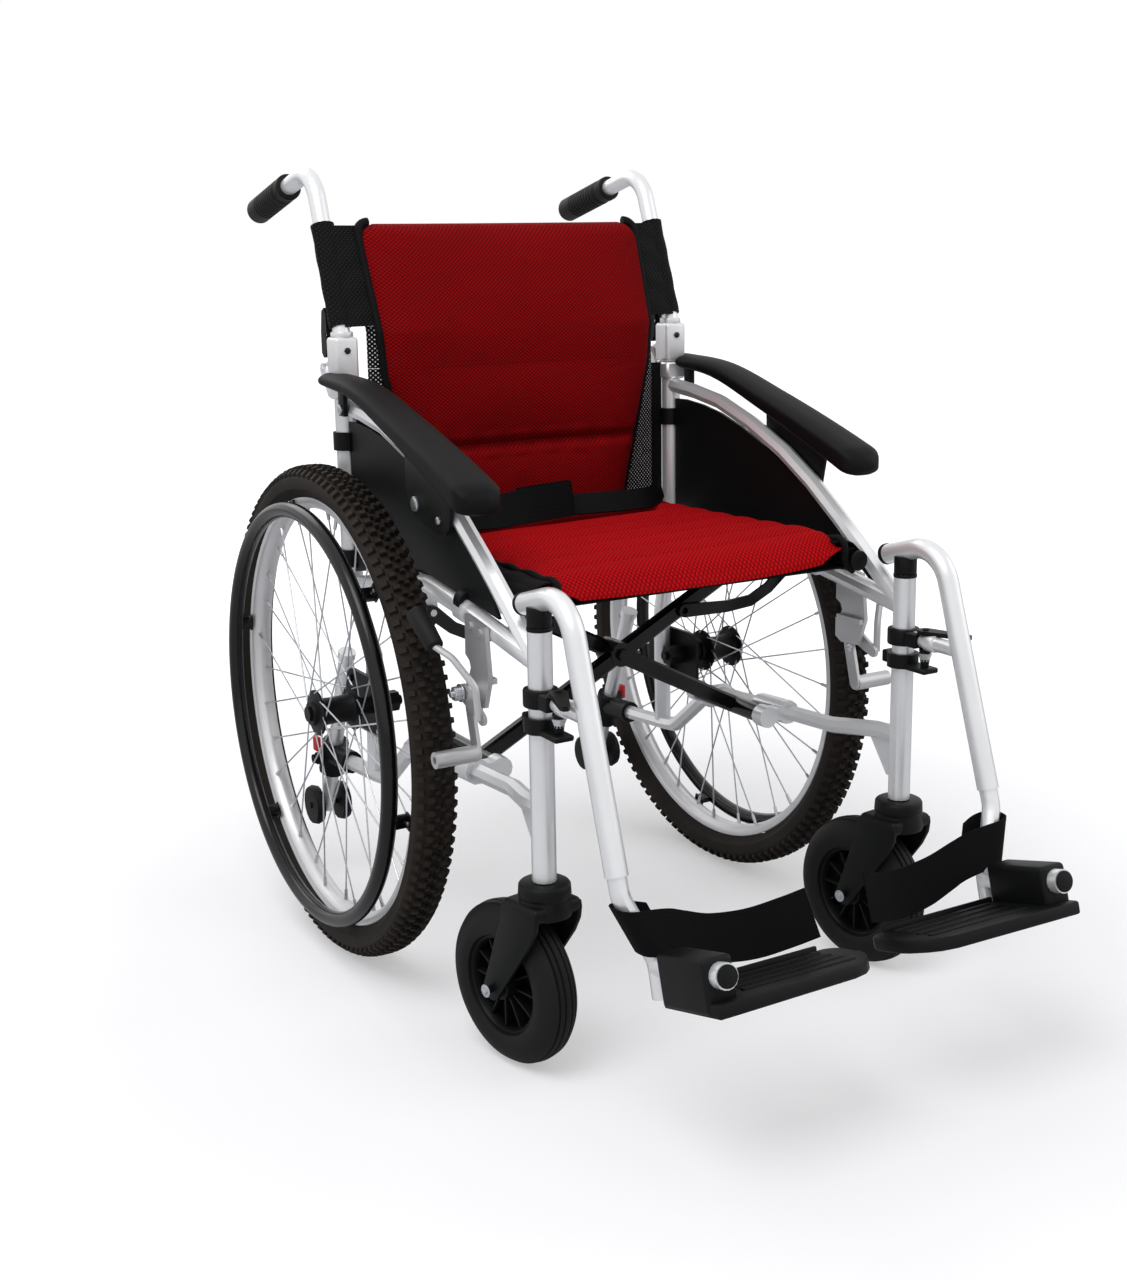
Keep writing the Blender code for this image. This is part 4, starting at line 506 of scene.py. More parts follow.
def plate(outline, thickness, place, bevel=0.0):
    """A flat plate cut to an outline, then put in its place."""
    obj = primitive("circle", vertices=len(outline), fill_type="NGON")
    for vertex, (x, y) in zip(obj.data.vertices, outline):
        vertex.co = (x, y, -thickness / 2)
    outward(obj)
    upward = obj.data.polygons[0].normal.z > 0
    modified(obj, "SOLIDIFY", thickness=thickness, offset=-1.0 if upward else 1.0)
    low = min(vertex.co.z for vertex in obj.data.vertices)
    obj.data.transform(Matrix.Translation((0, 0, -thickness / 2 - low)))
    outward(obj)
    if bevel:
        beveled(obj, bevel)
    return settled(obj, place)


def side_plate(side, inner, outer, outline, bevel):
    """A plate that stands fore and aft between two distances outboard; its outline is in y and z."""
    axes = Matrix(((0, 0, side, 0), (1, 0, 0, AXLE_Y), (0, 1, 0, 0), (0, 0, 0, 1)))
    return plate(outline, outer - inner, axes @ Matrix.Translation((0, 0, (inner + outer) / 2)), bevel)


def turned(profile, place=None, steps=96):
    """A closed outline of radius and height, spun about its axis."""
    obj = primitive("circle", vertices=len(profile), fill_type="NOTHING")
    for vertex, (radius, height) in zip(obj.data.vertices, profile):
        vertex.co = (radius, 0.0, height)
    modified(obj, "SCREW", axis="Z", steps=steps, render_steps=steps, use_merge_vertices=True,
             merge_threshold=WELD_DISTANCE)
    outward(obj)
    return settled(obj, place)


def both_faces(section):
    """An outline of radius and height with its mirror image; a point at height 0 isn't doubled."""
    return section + [(radius, -height) for radius, height in reversed(section) if height]


def grid(columns, rows):
    """A flat grid from -1 to 1 with its UV map."""
    return primitive("grid", x_subdivisions=columns, y_subdivisions=rows, size=2.0)


def soft_form(columns, rows, place):
    """A closed soft form: a grid with two faces, each point placed by a rule."""
    obj = grid(columns, rows)
    modified(obj, "SOLIDIFY", thickness=0.2, offset=0.0)
    for vertex in obj.data.vertices:
        vertex.co = place(vertex.co.x, vertex.co.y, 1 if vertex.co.z > 0 else -1)
    return outward(obj)


def soft_sheet(columns, rows, thickness, place):
    """A thin sheet: a grid whose points are placed by a rule on shares from 0 to 1."""
    obj = grid(columns, rows)
    for vertex in obj.data.vertices:
        vertex.co = place((vertex.co.x + 1) / 2, (vertex.co.y + 1) / 2)
    return modified(obj, "SOLIDIFY", thickness=thickness, offset=0.0)


def strap(path, across, width, thickness):
    """Flat webbing along a path, across a direction at each point, with its UV map in metres."""
    obj = grid(len(path) - 1, 8)
    lengths = reaches(path)
    spots = []
    for vertex in obj.data.vertices:
        index = round((vertex.co.x + 1) / 2 * (len(path) - 1))
        spots.append((lengths[index], vertex.co.y * width / 2))
        vertex.co = path[index] + across[index] * (vertex.co.y * width / 2)
    uv = obj.data.uv_layers.active
    for loop in obj.data.loops:
        uv.data[loop.index].uv = spots[loop.vertex_index]
    return modified(obj, "SOLIDIFY", thickness=thickness, offset=0.0, use_even_offset=True)


def dressed(obj, name, finish, body, node=None, angle=38):
    """Name a finished piece, give it its finish and its body, and hide the node that it stands for."""
    chosen(obj)
    obj.name = name
    obj.data.name = name
    bpy.ops.object.shade_smooth_by_angle(angle=math.radians(angle))
    obj.data.materials.clear()
    obj.data.materials.append(FINISHES[finish])
    if body:
        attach(obj, body)
    if node:
        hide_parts(node)
    return obj


def fitted(hand, obj, name, finish, body, node=None, angle=38):
    """Dress a piece of one hand: its name, its body and its node all end in that hand."""
    node = node and f"{node}_{hand}"
    return dressed(obj, f"{name}_{hand}", finish, f"{body}_{hand}", node, angle)


# Rear wheels
TYRE_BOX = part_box("tyre_left")
TYRE_HALF = (TYRE_BOX[1][0] - TYRE_BOX[0][0]) / 2
TREAD_LIMIT = 0.2998
RIM_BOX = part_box("rim_left")
RIM_RADIUS = (RIM_BOX[1][2] - RIM_BOX[0][2]) / 2
RIM_DEPTH = 0.0145
RIM_HALF = 0.0137
SPOKES_PER_FLANGE = 16
SPOKE_CIRCLE = 0.0245
SPOKE_SWING = math.radians(58)
FLANGE_OFFSETS = (-0.0245, 0.0220)
HANDRIM_OFFSET = 0.0373
HANDRIM_TABS = 6
KNOB_TAPER = 0.78
# Radius, offset from the middle, size across and along the tread, lean in degrees, shift in knobs
KNOB_ROWS = ((0.2905, TYRE_HALF - 0.0058, 0.0105, 0.0072, 42, 0.0),
             (0.2962, 0.0098, 0.0088, 0.0068, 14, 0.5),
             (0.2975, 0.0030, 0.0060, 0.0042, 0, 0.0))


def wheel_place(side):
    """The rear wheel's middle, with Z outboard along its axle."""
    outboard = Matrix.Rotation(side * math.pi / 2, 4, "Y")
    return Matrix.Translation(at(side, abs(AXLE.x), 0.0, AXLE.z)) @ outboard


def tread_row(edge, row, knobs):
    """One row of tapered knobs round one half of the tyre."""
    radius, offset, across, along, lean, shift = row
    knob = cuboid((-0.0028, -along / 2, -across / 2), (0.0030, along / 2, across / 2))
    for vertex in knob.data.vertices:
        if vertex.co.x > 0:
            vertex.co.y *= KNOB_TAPER
            vertex.co.z *= KNOB_TAPER
    tilt = Matrix.Rotation(-edge * math.radians(lean), 4, "Y")
    knob.data.transform(Matrix.Translation((radius, 0, edge * offset)) @ tilt)
    start = shift + (0.25 if edge > 0 else 0.0)
    return repeated(knob, [about_z((i + start) / knobs) for i in range(knobs)])


def model_tyre(hand, side, knobs):
    """Carcass with rows of tread knobs; the shoulder knobs make the toothed outline."""
    half = TYRE_HALF
    bead = RIM_RADIUS + 0.0009
    section = [(bead, 0.0132), (bead + 0.0030, 0.0150), (0.2720, half - 0.0034), (0.2790, half - 0.0014),
               (0.2850, half - 0.0020), (0.2895, half - 0.0062), (0.2925, half - 0.0120), (0.2936, 0.0060),
               (0.2938, 0.0)]
    carcass = turned(both_faces(section), steps=120)
    tread = joined([tread_row(edge, row, knobs) for edge in (-1, 1) for row in KNOB_ROWS])
    for vertex in tread.data.vertices:
        flat = math.hypot(vertex.co.x, vertex.co.y)
        if flat > TREAD_LIMIT:
            vertex.co.x *= TREAD_LIMIT / flat
            vertex.co.y *= TREAD_LIMIT / flat
        vertex.co.z = max(-half, min(half, vertex.co.z))
    tyre = settled(joined([carcass, tread]), wheel_place(side))
    fitted(hand, tyre, "treaded_tyre", "tread_rubber", "wheel", "tyre", 30)


def laced_spokes(reach):
    """The start at a hub flange and the end near the rim of each spoke."""
    ends = []
    for flange in (0, 1):
        for index in range(SPOKES_PER_FLANGE):
            turn = 2 * math.pi * (index + 0.5 * flange) / SPOKES_PER_FLANGE
            swing = SPOKE_SWING * (1 if index % 2 else -1)
            offset = FLANGE_OFFSETS[flange] + (0.0012 if index % 2 else -0.0012)
            start = Vector((SPOKE_CIRCLE, 0, offset))
            start.rotate(Quaternion((0, 0, 1), turn + swing))
            end = Vector((reach, 0, 0.003 * (1 if flange else -1) + offset - FLANGE_OFFSETS[flange]))
            end.rotate(Quaternion((0, 0, 1), turn))
            ends.append((start, end))
    return ends


def model_rim(hand, side):
    """Deep V rim with rolled edges, and a nipple for each spoke."""
    outer, half = RIM_RADIUS, RIM_HALF
    inner = outer - RIM_DEPTH
    section = [(inner, 0.0), (inner + 0.0004, 0.0035), (outer - 0.0085, half - 0.0012),
               (outer - 0.0070, half - 0.0002), (outer - 0.0008, half), (outer, half - 0.0006),
               (outer - 0.0002, half - 0.0030), (outer - 0.0040, 0.0080)]
    rim = turned(both_faces(section), wheel_place(side), 128)
    fitted(hand, rim, "wheel_rim", "machined_alloy", "wheel", "rim")
    nipples = []
    for start, end in laced_spokes(inner - 0.0002):
        toward = (end - start).normalized()
        nipples.append(rod(end - toward * 0.0125, end + toward * 0.0012, 0.0019, 6, 0.0, 0.0024))
    block = settled(joined(nipples), wheel_place(side))
    fitted(hand, block, "spoke_nipples", "zinc_plated_steel", "wheel")


def model_hub(hand, side):
    """Flanged hub shell, end caps and two sets of laced spokes."""
    inner, outer = FLANGE_OFFSETS
    profile = [(0.0064, -0.0330), (0.0140, -0.0330), (0.0148, -0.0318), (0.0152, inner - 0.0040),
               (0.0200, inner - 0.0022), (0.0278, inner - 0.0014), (0.0282, inner),
               (0.0278, inner + 0.0014), (0.0200, inner + 0.0024), (0.0172, inner + 0.0060), (0.0160, 0.0),
               (0.0172, outer - 0.0060), (0.0200, outer - 0.0024), (0.0278, outer - 0.0014),
               (0.0282, outer), (0.0278, outer + 0.0014), (0.0200, outer + 0.0022),
               (0.0152, outer + 0.0040), (0.0148, 0.0296), (0.0140, 0.0308), (0.0064, 0.0308)]
    shell = turned(profile, wheel_place(side), 48)
    fitted(hand, shell, "hub_shell", "moulded_abs", "wheel", "hub")
    spokes = [rod(start, end, 0.0010, 8) for start, end in laced_spokes(RIM_RADIUS - 0.0150)]
    laced = settled(joined(spokes), wheel_place(side))
    fitted(hand, laced, "spokes", "zinc_plated_steel", "wheel")


def model_handrim(hand, side):
    """Round push rim on six bolted tabs."""
    ring = primitive("torus", major_segments=128, minor_segments=20, major_radius=0.2485,
                     minor_radius=0.0094)
    ring.data.transform(Matrix.Translation((0, 0, HANDRIM_OFFSET)))
    pieces = [ring]
    screws = []
    for index in range(HANDRIM_TABS):
        turn = about_z((index + 0.25) / HANDRIM_TABS)
        pieces.append(cuboid((0.2467, -0.0075, 0.0139), (0.2552, 0.0075, HANDRIM_OFFSET), 0.0014, turn))
        pieces.append(cuboid((0.2467, -0.0095, 0.0139), (0.2600, 0.0095, 0.0172), 0.0012, turn))
        screws.append(rod_in(turn, (0.2574, 0, 0.0170), (0.2574, 0, 0.0192), 0.0024, 20, 0.0005))
    rim = settled(joined(pieces), wheel_place(side))
    fitted(hand, rim, "push_rim", "gloss_black_paint", "wheel", "handrim")
    heads = settled(joined(screws), wheel_place(side))
    fitted(hand, heads, "push_rim_screws", "zinc_plated_steel", "wheel")


# Casters
CASTER_RIBS = 12
FORK_TOP = 0.2152


def caster_place(hand):
    """The caster wheel's middle at rest, with Z along its axle."""
    joint = JOINTS[f"caster_wheel_{hand}"]
    return Matrix.Translation(Vector(joint["pos_m"])) @ facing(Vector(joint["axis"]), "Y")


def model_caster_wheel(hand):
    """Solid grooved tyre on a moulded wheel with twelve ribs."""
    r, half = CASTER_RADIUS, 0.0236
    section = [(r, 0.0), (r - 0.0003, 0.0030), (r - 0.0024, 0.0038), (r - 0.0024, 0.0046),
               (r - 0.0008, 0.0054), (r - 0.0014, 0.0092), (r - 0.0040, 0.0098), (r - 0.0040, 0.0108),
               (r - 0.0030, 0.0116), (r - 0.0062, 0.0158), (r - 0.0125, 0.0200),
               (r - 0.0210, half - 0.0008), (r - 0.0290, half - 0.0012), (r - 0.0340, half - 0.0034),
               (r - 0.0350, half - 0.0060)]
    tyre = turned(both_faces(section), caster_place(hand), 96)
    fitted(hand, tyre, "caster_tyre", "moulded_rubber", "caster_wheel", "caster_wheel", 32)
    rim = turned([(0.0536, -0.0172), (0.0536, 0.0172), (0.0510, 0.0178), (0.0488, 0.0150), (0.0478, 0.0),
                  (0.0488, -0.0150), (0.0510, -0.0178)], steps=64)
    boss = turned([(0.0044, -0.0226), (0.0135, -0.0226), (0.0150, -0.0212), (0.0165, -0.0080),
                   (0.0165, 0.0080), (0.0150, 0.0212), (0.0135, 0.0226), (0.0044, 0.0226)], steps=40)
    web = turned([(0.0160, -0.0016), (0.0490, -0.0016), (0.0490, 0.0016), (0.0160, 0.0016)], steps=48)
    ribs = []
    for index in range(CASTER_RIBS):
        turn = about_z(index / CASTER_RIBS)
        ribs.append(cuboid((0.0150, -0.0013, -0.0135), (0.0490, 0.0013, 0.0135), 0.0005, turn))
    core = settled(joined([rim, boss, web, *ribs]), caster_place(hand))
    fitted(hand, core, "caster_core", "moulded_abs", "caster_wheel")


def model_caster_fork(hand):
    """Moulded fork: a collar round the swivel bearing, a rounded crown and two tapering legs."""
    axle_way = Vector(JOINTS[f"caster_wheel_{hand}"]["axis"]).normalized()
    if axle_way.x < 0:
        axle_way = -axle_way
    spot = Vector(JOINTS[f"caster_swivel_{hand}"]["pos_m"])
    rear = WORLD_UP.cross(axle_way).normalized()
    turn = Matrix((axle_way, rear, WORLD_UP)).transposed().to_4x4()
    place = Matrix.Translation((spot.x, spot.y, 0)) @ turn
    top = FORK_TOP
    collar = turned([(0.0, top), (0.0240, top), (0.0258, top - 0.0010), (0.0270, top - 0.0028),
                     (0.0276, top - 0.0125), (0.0268, top - 0.0142), (0.0262, top - 0.0150),
                     (0.0272, top - 0.0200), (0.0292, top - 0.0300), (0.0280, top - 0.0345),
                     (0.0, top - 0.0345)], place, 48)
    crown = cuboid((-0.0318, -0.0225, top - 0.0350), (0.0318, 0.0330, top - 0.0185), 0.0060, place, 4)
    angles = [math.radians(degrees) for degrees in range(200, 381, 12)]
    foot = [(CASTER_TRAIL + 0.0130 * math.cos(angle), CASTER_RADIUS + 0.0130 * math.sin(angle))
            for angle in angles]
    outline = [(-0.0210, top - 0.0222), (-0.0222, top - 0.0300), (-0.0205, top - 0.0420),
               (-0.0120, top - 0.0592), *foot, (0.0560, 0.1150), (0.0420, top - 0.0592),
               (0.0345, top - 0.0420), (0.0325, top - 0.0222)]
    axes = Matrix(((0, 0, 1), (1, 0, 0), (0, 1, 0))).to_4x4()
    legs = []
    for edge in (-1, 1):
        leg_place = place @ Matrix.Translation((edge * 0.0291, 0, 0)) @ axes
        legs.append(plate(outline, 0.0060, leg_place, 0.0018))
    stem = rod_in(place, (0, 0, top - 0.0202), (0, 0, top + 0.0328), 0.0070, 28)
    axle = rod_in(place, (-0.0390, CASTER_TRAIL, CASTER_RADIUS), (0.0390, CASTER_TRAIL, CASTER_RADIUS),
                  0.0040, 24)
    fork = joined([collar, crown, *legs, stem, axle])
    fitted(hand, fork, "caster_fork_shell", "moulded_abs", "caster_fork", "caster_fork")


# Back tubes and grips
def handle_point(y):
    """Height of the push handle's straight end at a distance behind the axle."""
    return HANDLE_CORNER[1] - (y - HANDLE_CORNER[0]) * HANDLE_DROP


def back_plane(z):
    """Distance of the back fabric behind the axle: it follows the leaning upper tubes."""
    lean = (HANDLE_CORNER[0] - BACK_POST_Y) / (HANDLE_CORNER[1] - BACK_LEAN_Z)
    return BACK_POST_Y + max(0.0, z - BACK_LEAN_Z) * lean


def model_back_tube(hand, side):
    """Leaning upper tube with its bent push handle and its folding casting."""
    end_y = HANDLE_REACH - 0.012
    path = [(BACK_POST_Y, 0.7180), (BACK_POST_Y, BACK_LEAN_Z), HANDLE_CORNER, (end_y, handle_point(end_y))]
    upper = tube(bent([at(side, FRAME_X, y, z) for y, z in path], TUBE_BEND, 12), HANDLE_TUBE_RADIUS, 28)
    fitted(hand, upper, "handle_tube", "satin_silver_paint", "back", "back_tube")
    casting = block_at(side, (0.2205, 0.0255, 0.6955), (0.2505, 0.0560, 0.7460), 0.0045, 3)
    post = (FRAME_X, BACK_POST_Y)
    collar = rod_at(side, (*post, 0.7440), (*post, 0.7520), 0.0136, 40, 0.0010)
    knuckle = [(0.0480, 0.7000), (0.0723, 0.7000), (0.0800, 0.7013), (0.0835, 0.7065), (0.0800, 0.7128),
               (0.0480, 0.7260)]
    ear = side_plate(side, 0.2288, 0.2432, knuckle, 0.0008)
    lug = block_at(side, (0.2331, 0.0460, 0.7415), (0.2389, 0.0700, 0.7528), 0.0010)
    pin = rod_at(side, (0.2275, 0.0660, 0.7478), (0.2445, 0.0660, 0.7478), 0.0024, 16)
    fitted(hand, joined([casting, collar, ear, lug, pin]), "fold_casting", "machined_alloy", "back")
    screw = rod_at(side, (FRAME_X, 0.0262, 0.7300), (FRAME_X, 0.0232, 0.7300), 0.0042, 6, 0.0006)
    fitted(hand, screw, "casting_screw", "gloss_black_paint", "back")


def model_push_grip(hand, side):
    """Rubber grip with a flange and rings cut round its front half."""
    length = 0.122
    end = at(side, FRAME_X, HANDLE_REACH, handle_point(HANDLE_REACH))
    front_y = HANDLE_REACH - length * math.cos(math.atan(HANDLE_DROP))
    start = at(side, FRAME_X, front_y, handle_point(front_y))
    r = 0.0165
    profile = [(0.0112, 0.0), (r - 0.0014, 0.0), (r, 0.0014), (r, 0.0105), (r - 0.0014, 0.0125),
               (r - 0.0016, 0.0195), (r, 0.0222)]
    for index in range(9):
        z = 0.0290 + index * 0.0070
        profile += [(r, z), (r - 0.0012, z + 0.0010), (r - 0.0012, z + 0.0026), (r, z + 0.0036)]
    profile += [(r, length - 0.0060), (r - 0.0018, length - 0.0022), (r - 0.0055, length), (0.0, length),
                (0.0, length - 0.0090), (0.0112, length - 0.0110)]
    grip = turned(profile, Matrix.Translation(start) @ facing(end - start), 40)
    fitted(hand, grip, "rubber_grip", "moulded_rubber", "back", "push_grip", 34)


# Footrest hangers
def model_hanger(hand, side):
    """Swing-away hanger: bent tube, swivel collar, and the stub that carries the latch ring."""
    path = [(-0.404, 0.4990), (-0.4876, 0.5230), HANGER_END]
    bend = tube(bent([at(side, FRAME_X, y, z) for y, z in path], TUBE_BEND, 14), HANGER_TUBE_RADIUS, 28)
    stub_end = HANGER_END[0] + (STUB_Z - HANGER_END[1]) * math.tan(HANGER_LEAN)
    stub = rod_at(side, (FRAME_X, FRONT_POST_Y - 0.0145, STUB_Z), (FRAME_X, stub_end, STUB_Z), 0.0080, 28)
    fitted(hand, joined([bend, stub]), "hanger_tube", "satin_silver_paint", "hanger", "hanger")
    post = (FRAME_X, FRONT_POST_Y)
    collar = rod_at(side, (*post, 0.4813), (*post, 0.5010), 0.0127, 40, 0.0008)
    fitted(hand, collar, "hanger_collar", "moulded_abs", "hanger")
    ring = rod_at(side, (*post, STUB_Z - 0.0095), (*post, STUB_Z + 0.0095), 0.0180, 40, 0.0022)
    yoke = block_at(side, (FRAME_X - 0.0120, -0.4640, STUB_Z - 0.0085),
                    (FRAME_X + 0.0120, -0.4400, STUB_Z + 0.0078), 0.0022)
    fitted(hand, joined([ring, yoke]), "hanger_clamp", "moulded_abs", "hanger")
    cap = rod_at(side, (FRAME_X, -0.4035, 0.49915), (FRAME_X, -0.3985, 0.4977), 0.0122, 28, 0.0010)
    fitted(hand, cap, "hanger_end_cap", "moulded_abs", "hanger")


# Seat
SEAT_HALF = 0.186
SEAT_CHANNELS = 8
CHANNEL_BOW = 0.10
SEAT_BASE_Z = 0.4858


def edge_fall(share, power):
    """A rounded fall from 1 in the middle to 0 at a share of 1; a high power keeps it flat for longer."""
    return max(0.0, 1 - abs(share) ** power) ** 0.5


def seat_half_width(y):
    """Half width of the red seat pad: a little narrower behind the front corners."""
    return SEAT_HALF - 0.004 * math.exp(-((y + 0.20) / 0.14) ** 2)


def seat_top(x, y):
    """Height of the seat pad's crown, without its channels."""
    u = min(1.0, abs(x) / seat_half_width(y))
    rolled = min(1.0, (y - SEAT_FRONT) / 0.045)
    drop = 0.022 * (1 - math.sin(rolled * math.pi / 2))
    return SEAT_TUBE_Z + 0.0165 + 0.0135 * edge_fall(u, 5) - drop


def seat_lift(u, y):
    """How far the sides of the seat curl up towards its front corners; u is -1 to 1 across the pad."""
    forward = max(0.0, (SEAT_REAR - y) / (SEAT_REAR - SEAT_FRONT))
    return (0.0065 + 0.0030 * u) * abs(u) ** 3 * forward ** 1.5


def inflated(obj, held, cap):
    """Swell a form in a short cloth simulation; held points stay, and none moves beyond the cap."""
    scene = bpy.context.scene
    pins = obj.vertex_groups.new(name="held")
    pins.add([vertex.index for vertex in obj.data.vertices if held(vertex.co)], 1.0, "REPLACE")
    cloth = obj.modifiers.new("cloth", "CLOTH")
    cloth.settings.quality = 5
    cloth.settings.mass = 0.3
    cloth.settings.tension_stiffness = 12.0
    cloth.settings.compression_stiffness = 12.0
    cloth.settings.vertex_group_mass = "held"
    cloth.settings.use_pressure = True
    cloth.settings.uniform_pressure_force = 4.0
    cloth.settings.effector_weights.gravity = 0.0
    cloth.point_cache.frame_start = 1
    cloth.point_cache.frame_end = 20
    for step in range(1, 21):
        scene.frame_set(step)
    swollen = obj.evaluated_get(bpy.context.evaluated_depsgraph_get())
    moves = [after.co - before.co for before, after in zip(obj.data.vertices, swollen.data.vertices)]
    obj.modifiers.remove(cloth)
    obj.vertex_groups.remove(pins)
    scene.frame_set(1)
    for vertex, move in zip(obj.data.vertices, moves):
        vertex.co += move * min(1.0, cap / max(move.length, 0.000001))
    obj.data.update()
    return obj


def blend_seat(obj):
    """Put the placement of a piece of the seat into its mesh."""
    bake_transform(obj)


def model_seat_cushion():
    """Red seat pad: crowned, with eight sewn channels across and a rolled front edge."""
    def place(u, v, face):
        u = math.sin(u * math.pi / 2 * 0.999)
        y = SEAT_FRONT + (SEAT_REAR - SEAT_FRONT) * (v + 1) / 2
        x = u * seat_half_width(y)
        near_seam = abs(math.sin(((v + 1) / 2 * SEAT_CHANNELS + CHANNEL_BOW * u * u) * math.pi))
        pucker = 0.0012 * math.sin(x * 210 + v * 9) * (1 - abs(u) ** 6)
        groove = (0.0105 * (1 - near_seam ** 0.62) + pucker * (1 - near_seam) ** 3) * edge_fall(u, 10)
        under = SEAT_BASE_Z + (0.4985 - SEAT_BASE_Z) * min(1.0, max(0.0, abs(u) - 0.86) / 0.14) ** 0.7
        over = seat_top(x, y) - groove + 0.0050 * u * (0.6 + 0.4 * u)
        over = under + (over - under) * (0.30 + 0.70 * edge_fall(v, 26))
        return Vector((x, y + AXLE_Y, (over if face > 0 else under) + seat_lift(u, y)))

    def held(point):
        along = (point.y - AXLE_Y - SEAT_FRONT) / (SEAT_REAR - SEAT_FRONT) * SEAT_CHANNELS
        seam = abs(along + CHANNEL_BOW * (point.x / SEAT_HALF) ** 2 - round(along)) < 0.06
        edge = abs(point.x) > seat_half_width(point.y - AXLE_Y) - 0.004
        return seam or edge or point.z < SEAT_BASE_Z + 0.004

    cushion = inflated(soft_form(96, 170, place), held, 0.004)
    dressed(cushion, "seat_pad", "red_spacer_mesh_seat", None, "seat_cushion", 60)
    blend_seat(cushion)


def seat_hem(side, low, high):
    """Canvas hem round a seat tube, between two distances behind the axle."""
    inner = SEAT_TUBE_RADIUS + 0.0006
    outer = inner + 0.0024
    rearward = Matrix.Rotation(-math.pi / 2, 4, "X")
    place = Matrix.Translation(at(side, SEAT_TUBE_X, 0, SEAT_TUBE_Z)) @ rearward
    return turned([(inner, low), (outer, low), (outer, high), (inner, high)], place, 40)


def seat_flap(side):
    """Canvas from a seat tube back up to the red pad, softly rippled."""
    def place(share, v):
        y = SEAT_FRONT + 0.003 + (SEAT_REAR - SEAT_FRONT - 0.003) * v
        inner = seat_half_width(y) - 0.006
        x = inner + (SEAT_TUBE_X + 0.0105 - inner) * share
        bulge = math.sin(share * math.pi)
        fall = 0.0068 * max(0.0, share - 0.55) ** 2 / 0.2025
        ripple = 0.0011 * math.sin(y * 95) * bulge
        lift = seat_lift(side, y) * (1 - share) ** 1.2
        return at(side, x, y, 0.5045 + 0.0036 * bulge - fall + ripple + lift)

    return soft_sheet(12, 90, 0.0018, place)


def seat_bindings(side):
    """Bound edge of the red pad down to the canvas, and its corner tail."""
    lift = seat_lift(side, SEAT_FRONT)
    edge = []
    for index in range(40):
        y = SEAT_REAR - 0.004 - index * 0.0095
        z = 0.5072 + seat_lift(side, y) + 0.0012 * math.sin(y * 130)
        edge.append(at(side, seat_half_width(y) + 0.0012, y, z))
    edge += [at(side, 0.1868, -0.3828, 0.5050 + lift), at(side, 0.1874, -0.3848, 0.4985 + 0.8 * lift),
             at(side, 0.1885, -0.3838, 0.4905 + 0.4 * lift)]
    corner = [at(side, 0.1880, -0.3838, 0.4915 + 0.4 * lift), at(side, 0.1950, -0.3822, 0.4850),
              at(side, 0.2035, -0.3795, 0.4790)]
    return [tube(flowing(edge, 3), 0.0040, 12), tube(flowing(corner, 5), 0.0036, 12)]


def model_seat_sling():
    """Black seat canvas: hems round the seat tubes, flaps up to the red pad, and its bound edges."""
    def place(across, back):
        y = SEAT_FRONT + 0.006 + (SEAT_REAR - SEAT_FRONT - 0.007) * back
        return Vector(((2 * across - 1) * 0.199, y + AXLE_Y, 0.4834))

    pieces = [soft_sheet(60, 40, 0.0020, place)]
    bindings = []
    for side in (-1, 1):
        pieces += [seat_hem(side, SEAT_FRONT + 0.004, -0.2165), seat_hem(side, -0.1625, SEAT_REAR)]
        pieces.append(seat_flap(side))
        bindings += seat_bindings(side)
    sling = joined(pieces + bindings)
    dressed(sling, "seat_canvas_sheet", "seat_canvas", None, "seat_sling", 40)
    blend_seat(sling)


def model_lap_belt():
    """Two belt halves: one folds back on itself in a loop, the other runs to the far rear corner."""
    near = [(-0.176, -0.034, 0.5300), (-0.150, -0.070, 0.5330), (-0.115, -0.096, 0.5385),
            (-0.075, -0.108, 0.5445), (-0.035, -0.1135, 0.5480), (-0.011, -0.1110, 0.5490),
            (-0.0055, -0.1050, 0.5490), (-0.012, -0.0995, 0.5485), (-0.040, -0.0975, 0.5470),
            (-0.075, -0.0965, 0.5450)]
    path = flowing([at(1, *p) for p in near], 7)
    leans = []
    for index in range(len(path)):
        share = min(1.0, index / (0.42 * len(path)))
        leans.append(Vector((0.0, 0.92 - 0.72 * share, 0.38 + 0.60 * share)).normalized())
    looped = strap(path, leans, 0.042, 0.0022)
    far = [(-0.030, -0.0935, 0.5385), (0.010, -0.0960, 0.5385), (0.060, -0.0985, 0.5378),
           (0.110, -0.0890, 0.5365), (0.150, -0.0560, 0.5345), (0.187, -0.0100, 0.5335)]
    path = flowing([at(1, *p) for p in far], 8)
    leans = [Vector((0.25 * i / len(path), 0.72, 0.66)).normalized() for i in range(len(path))]
    belt = joined([looped, strap(path, leans, 0.032, 0.0020)])
    dressed(belt, "lap_belt_webbing", "belt_webbing", None, "lap_belt", 40)
    blend_seat(belt)


# Backrest
BACK_TOP = 0.878
BACK_BOTTOM = 0.492
LUMBAR_Z = 0.606
BACK_CORNER = 0.026
BACK_ROLL = 0.03


def fold_back_flat(obj):
    """Give a piece of the backrest a mesh of its own."""
    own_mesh(obj)


def back_half_width(z):
    """Half width of the red back pad at a height."""
    knots = [(0.480, 0.138), (0.540, 0.150), (0.610, 0.166), (0.700, 0.186), (0.760, 0.191), (0.900, 0.197)]
    for (z0, w0), (z1, w1) in zip(knots, knots[1:]):
        if z <= z1:
            return w0 + (w1 - w0) * (z - z0) / (z1 - z0)
    return knots[-1][1]


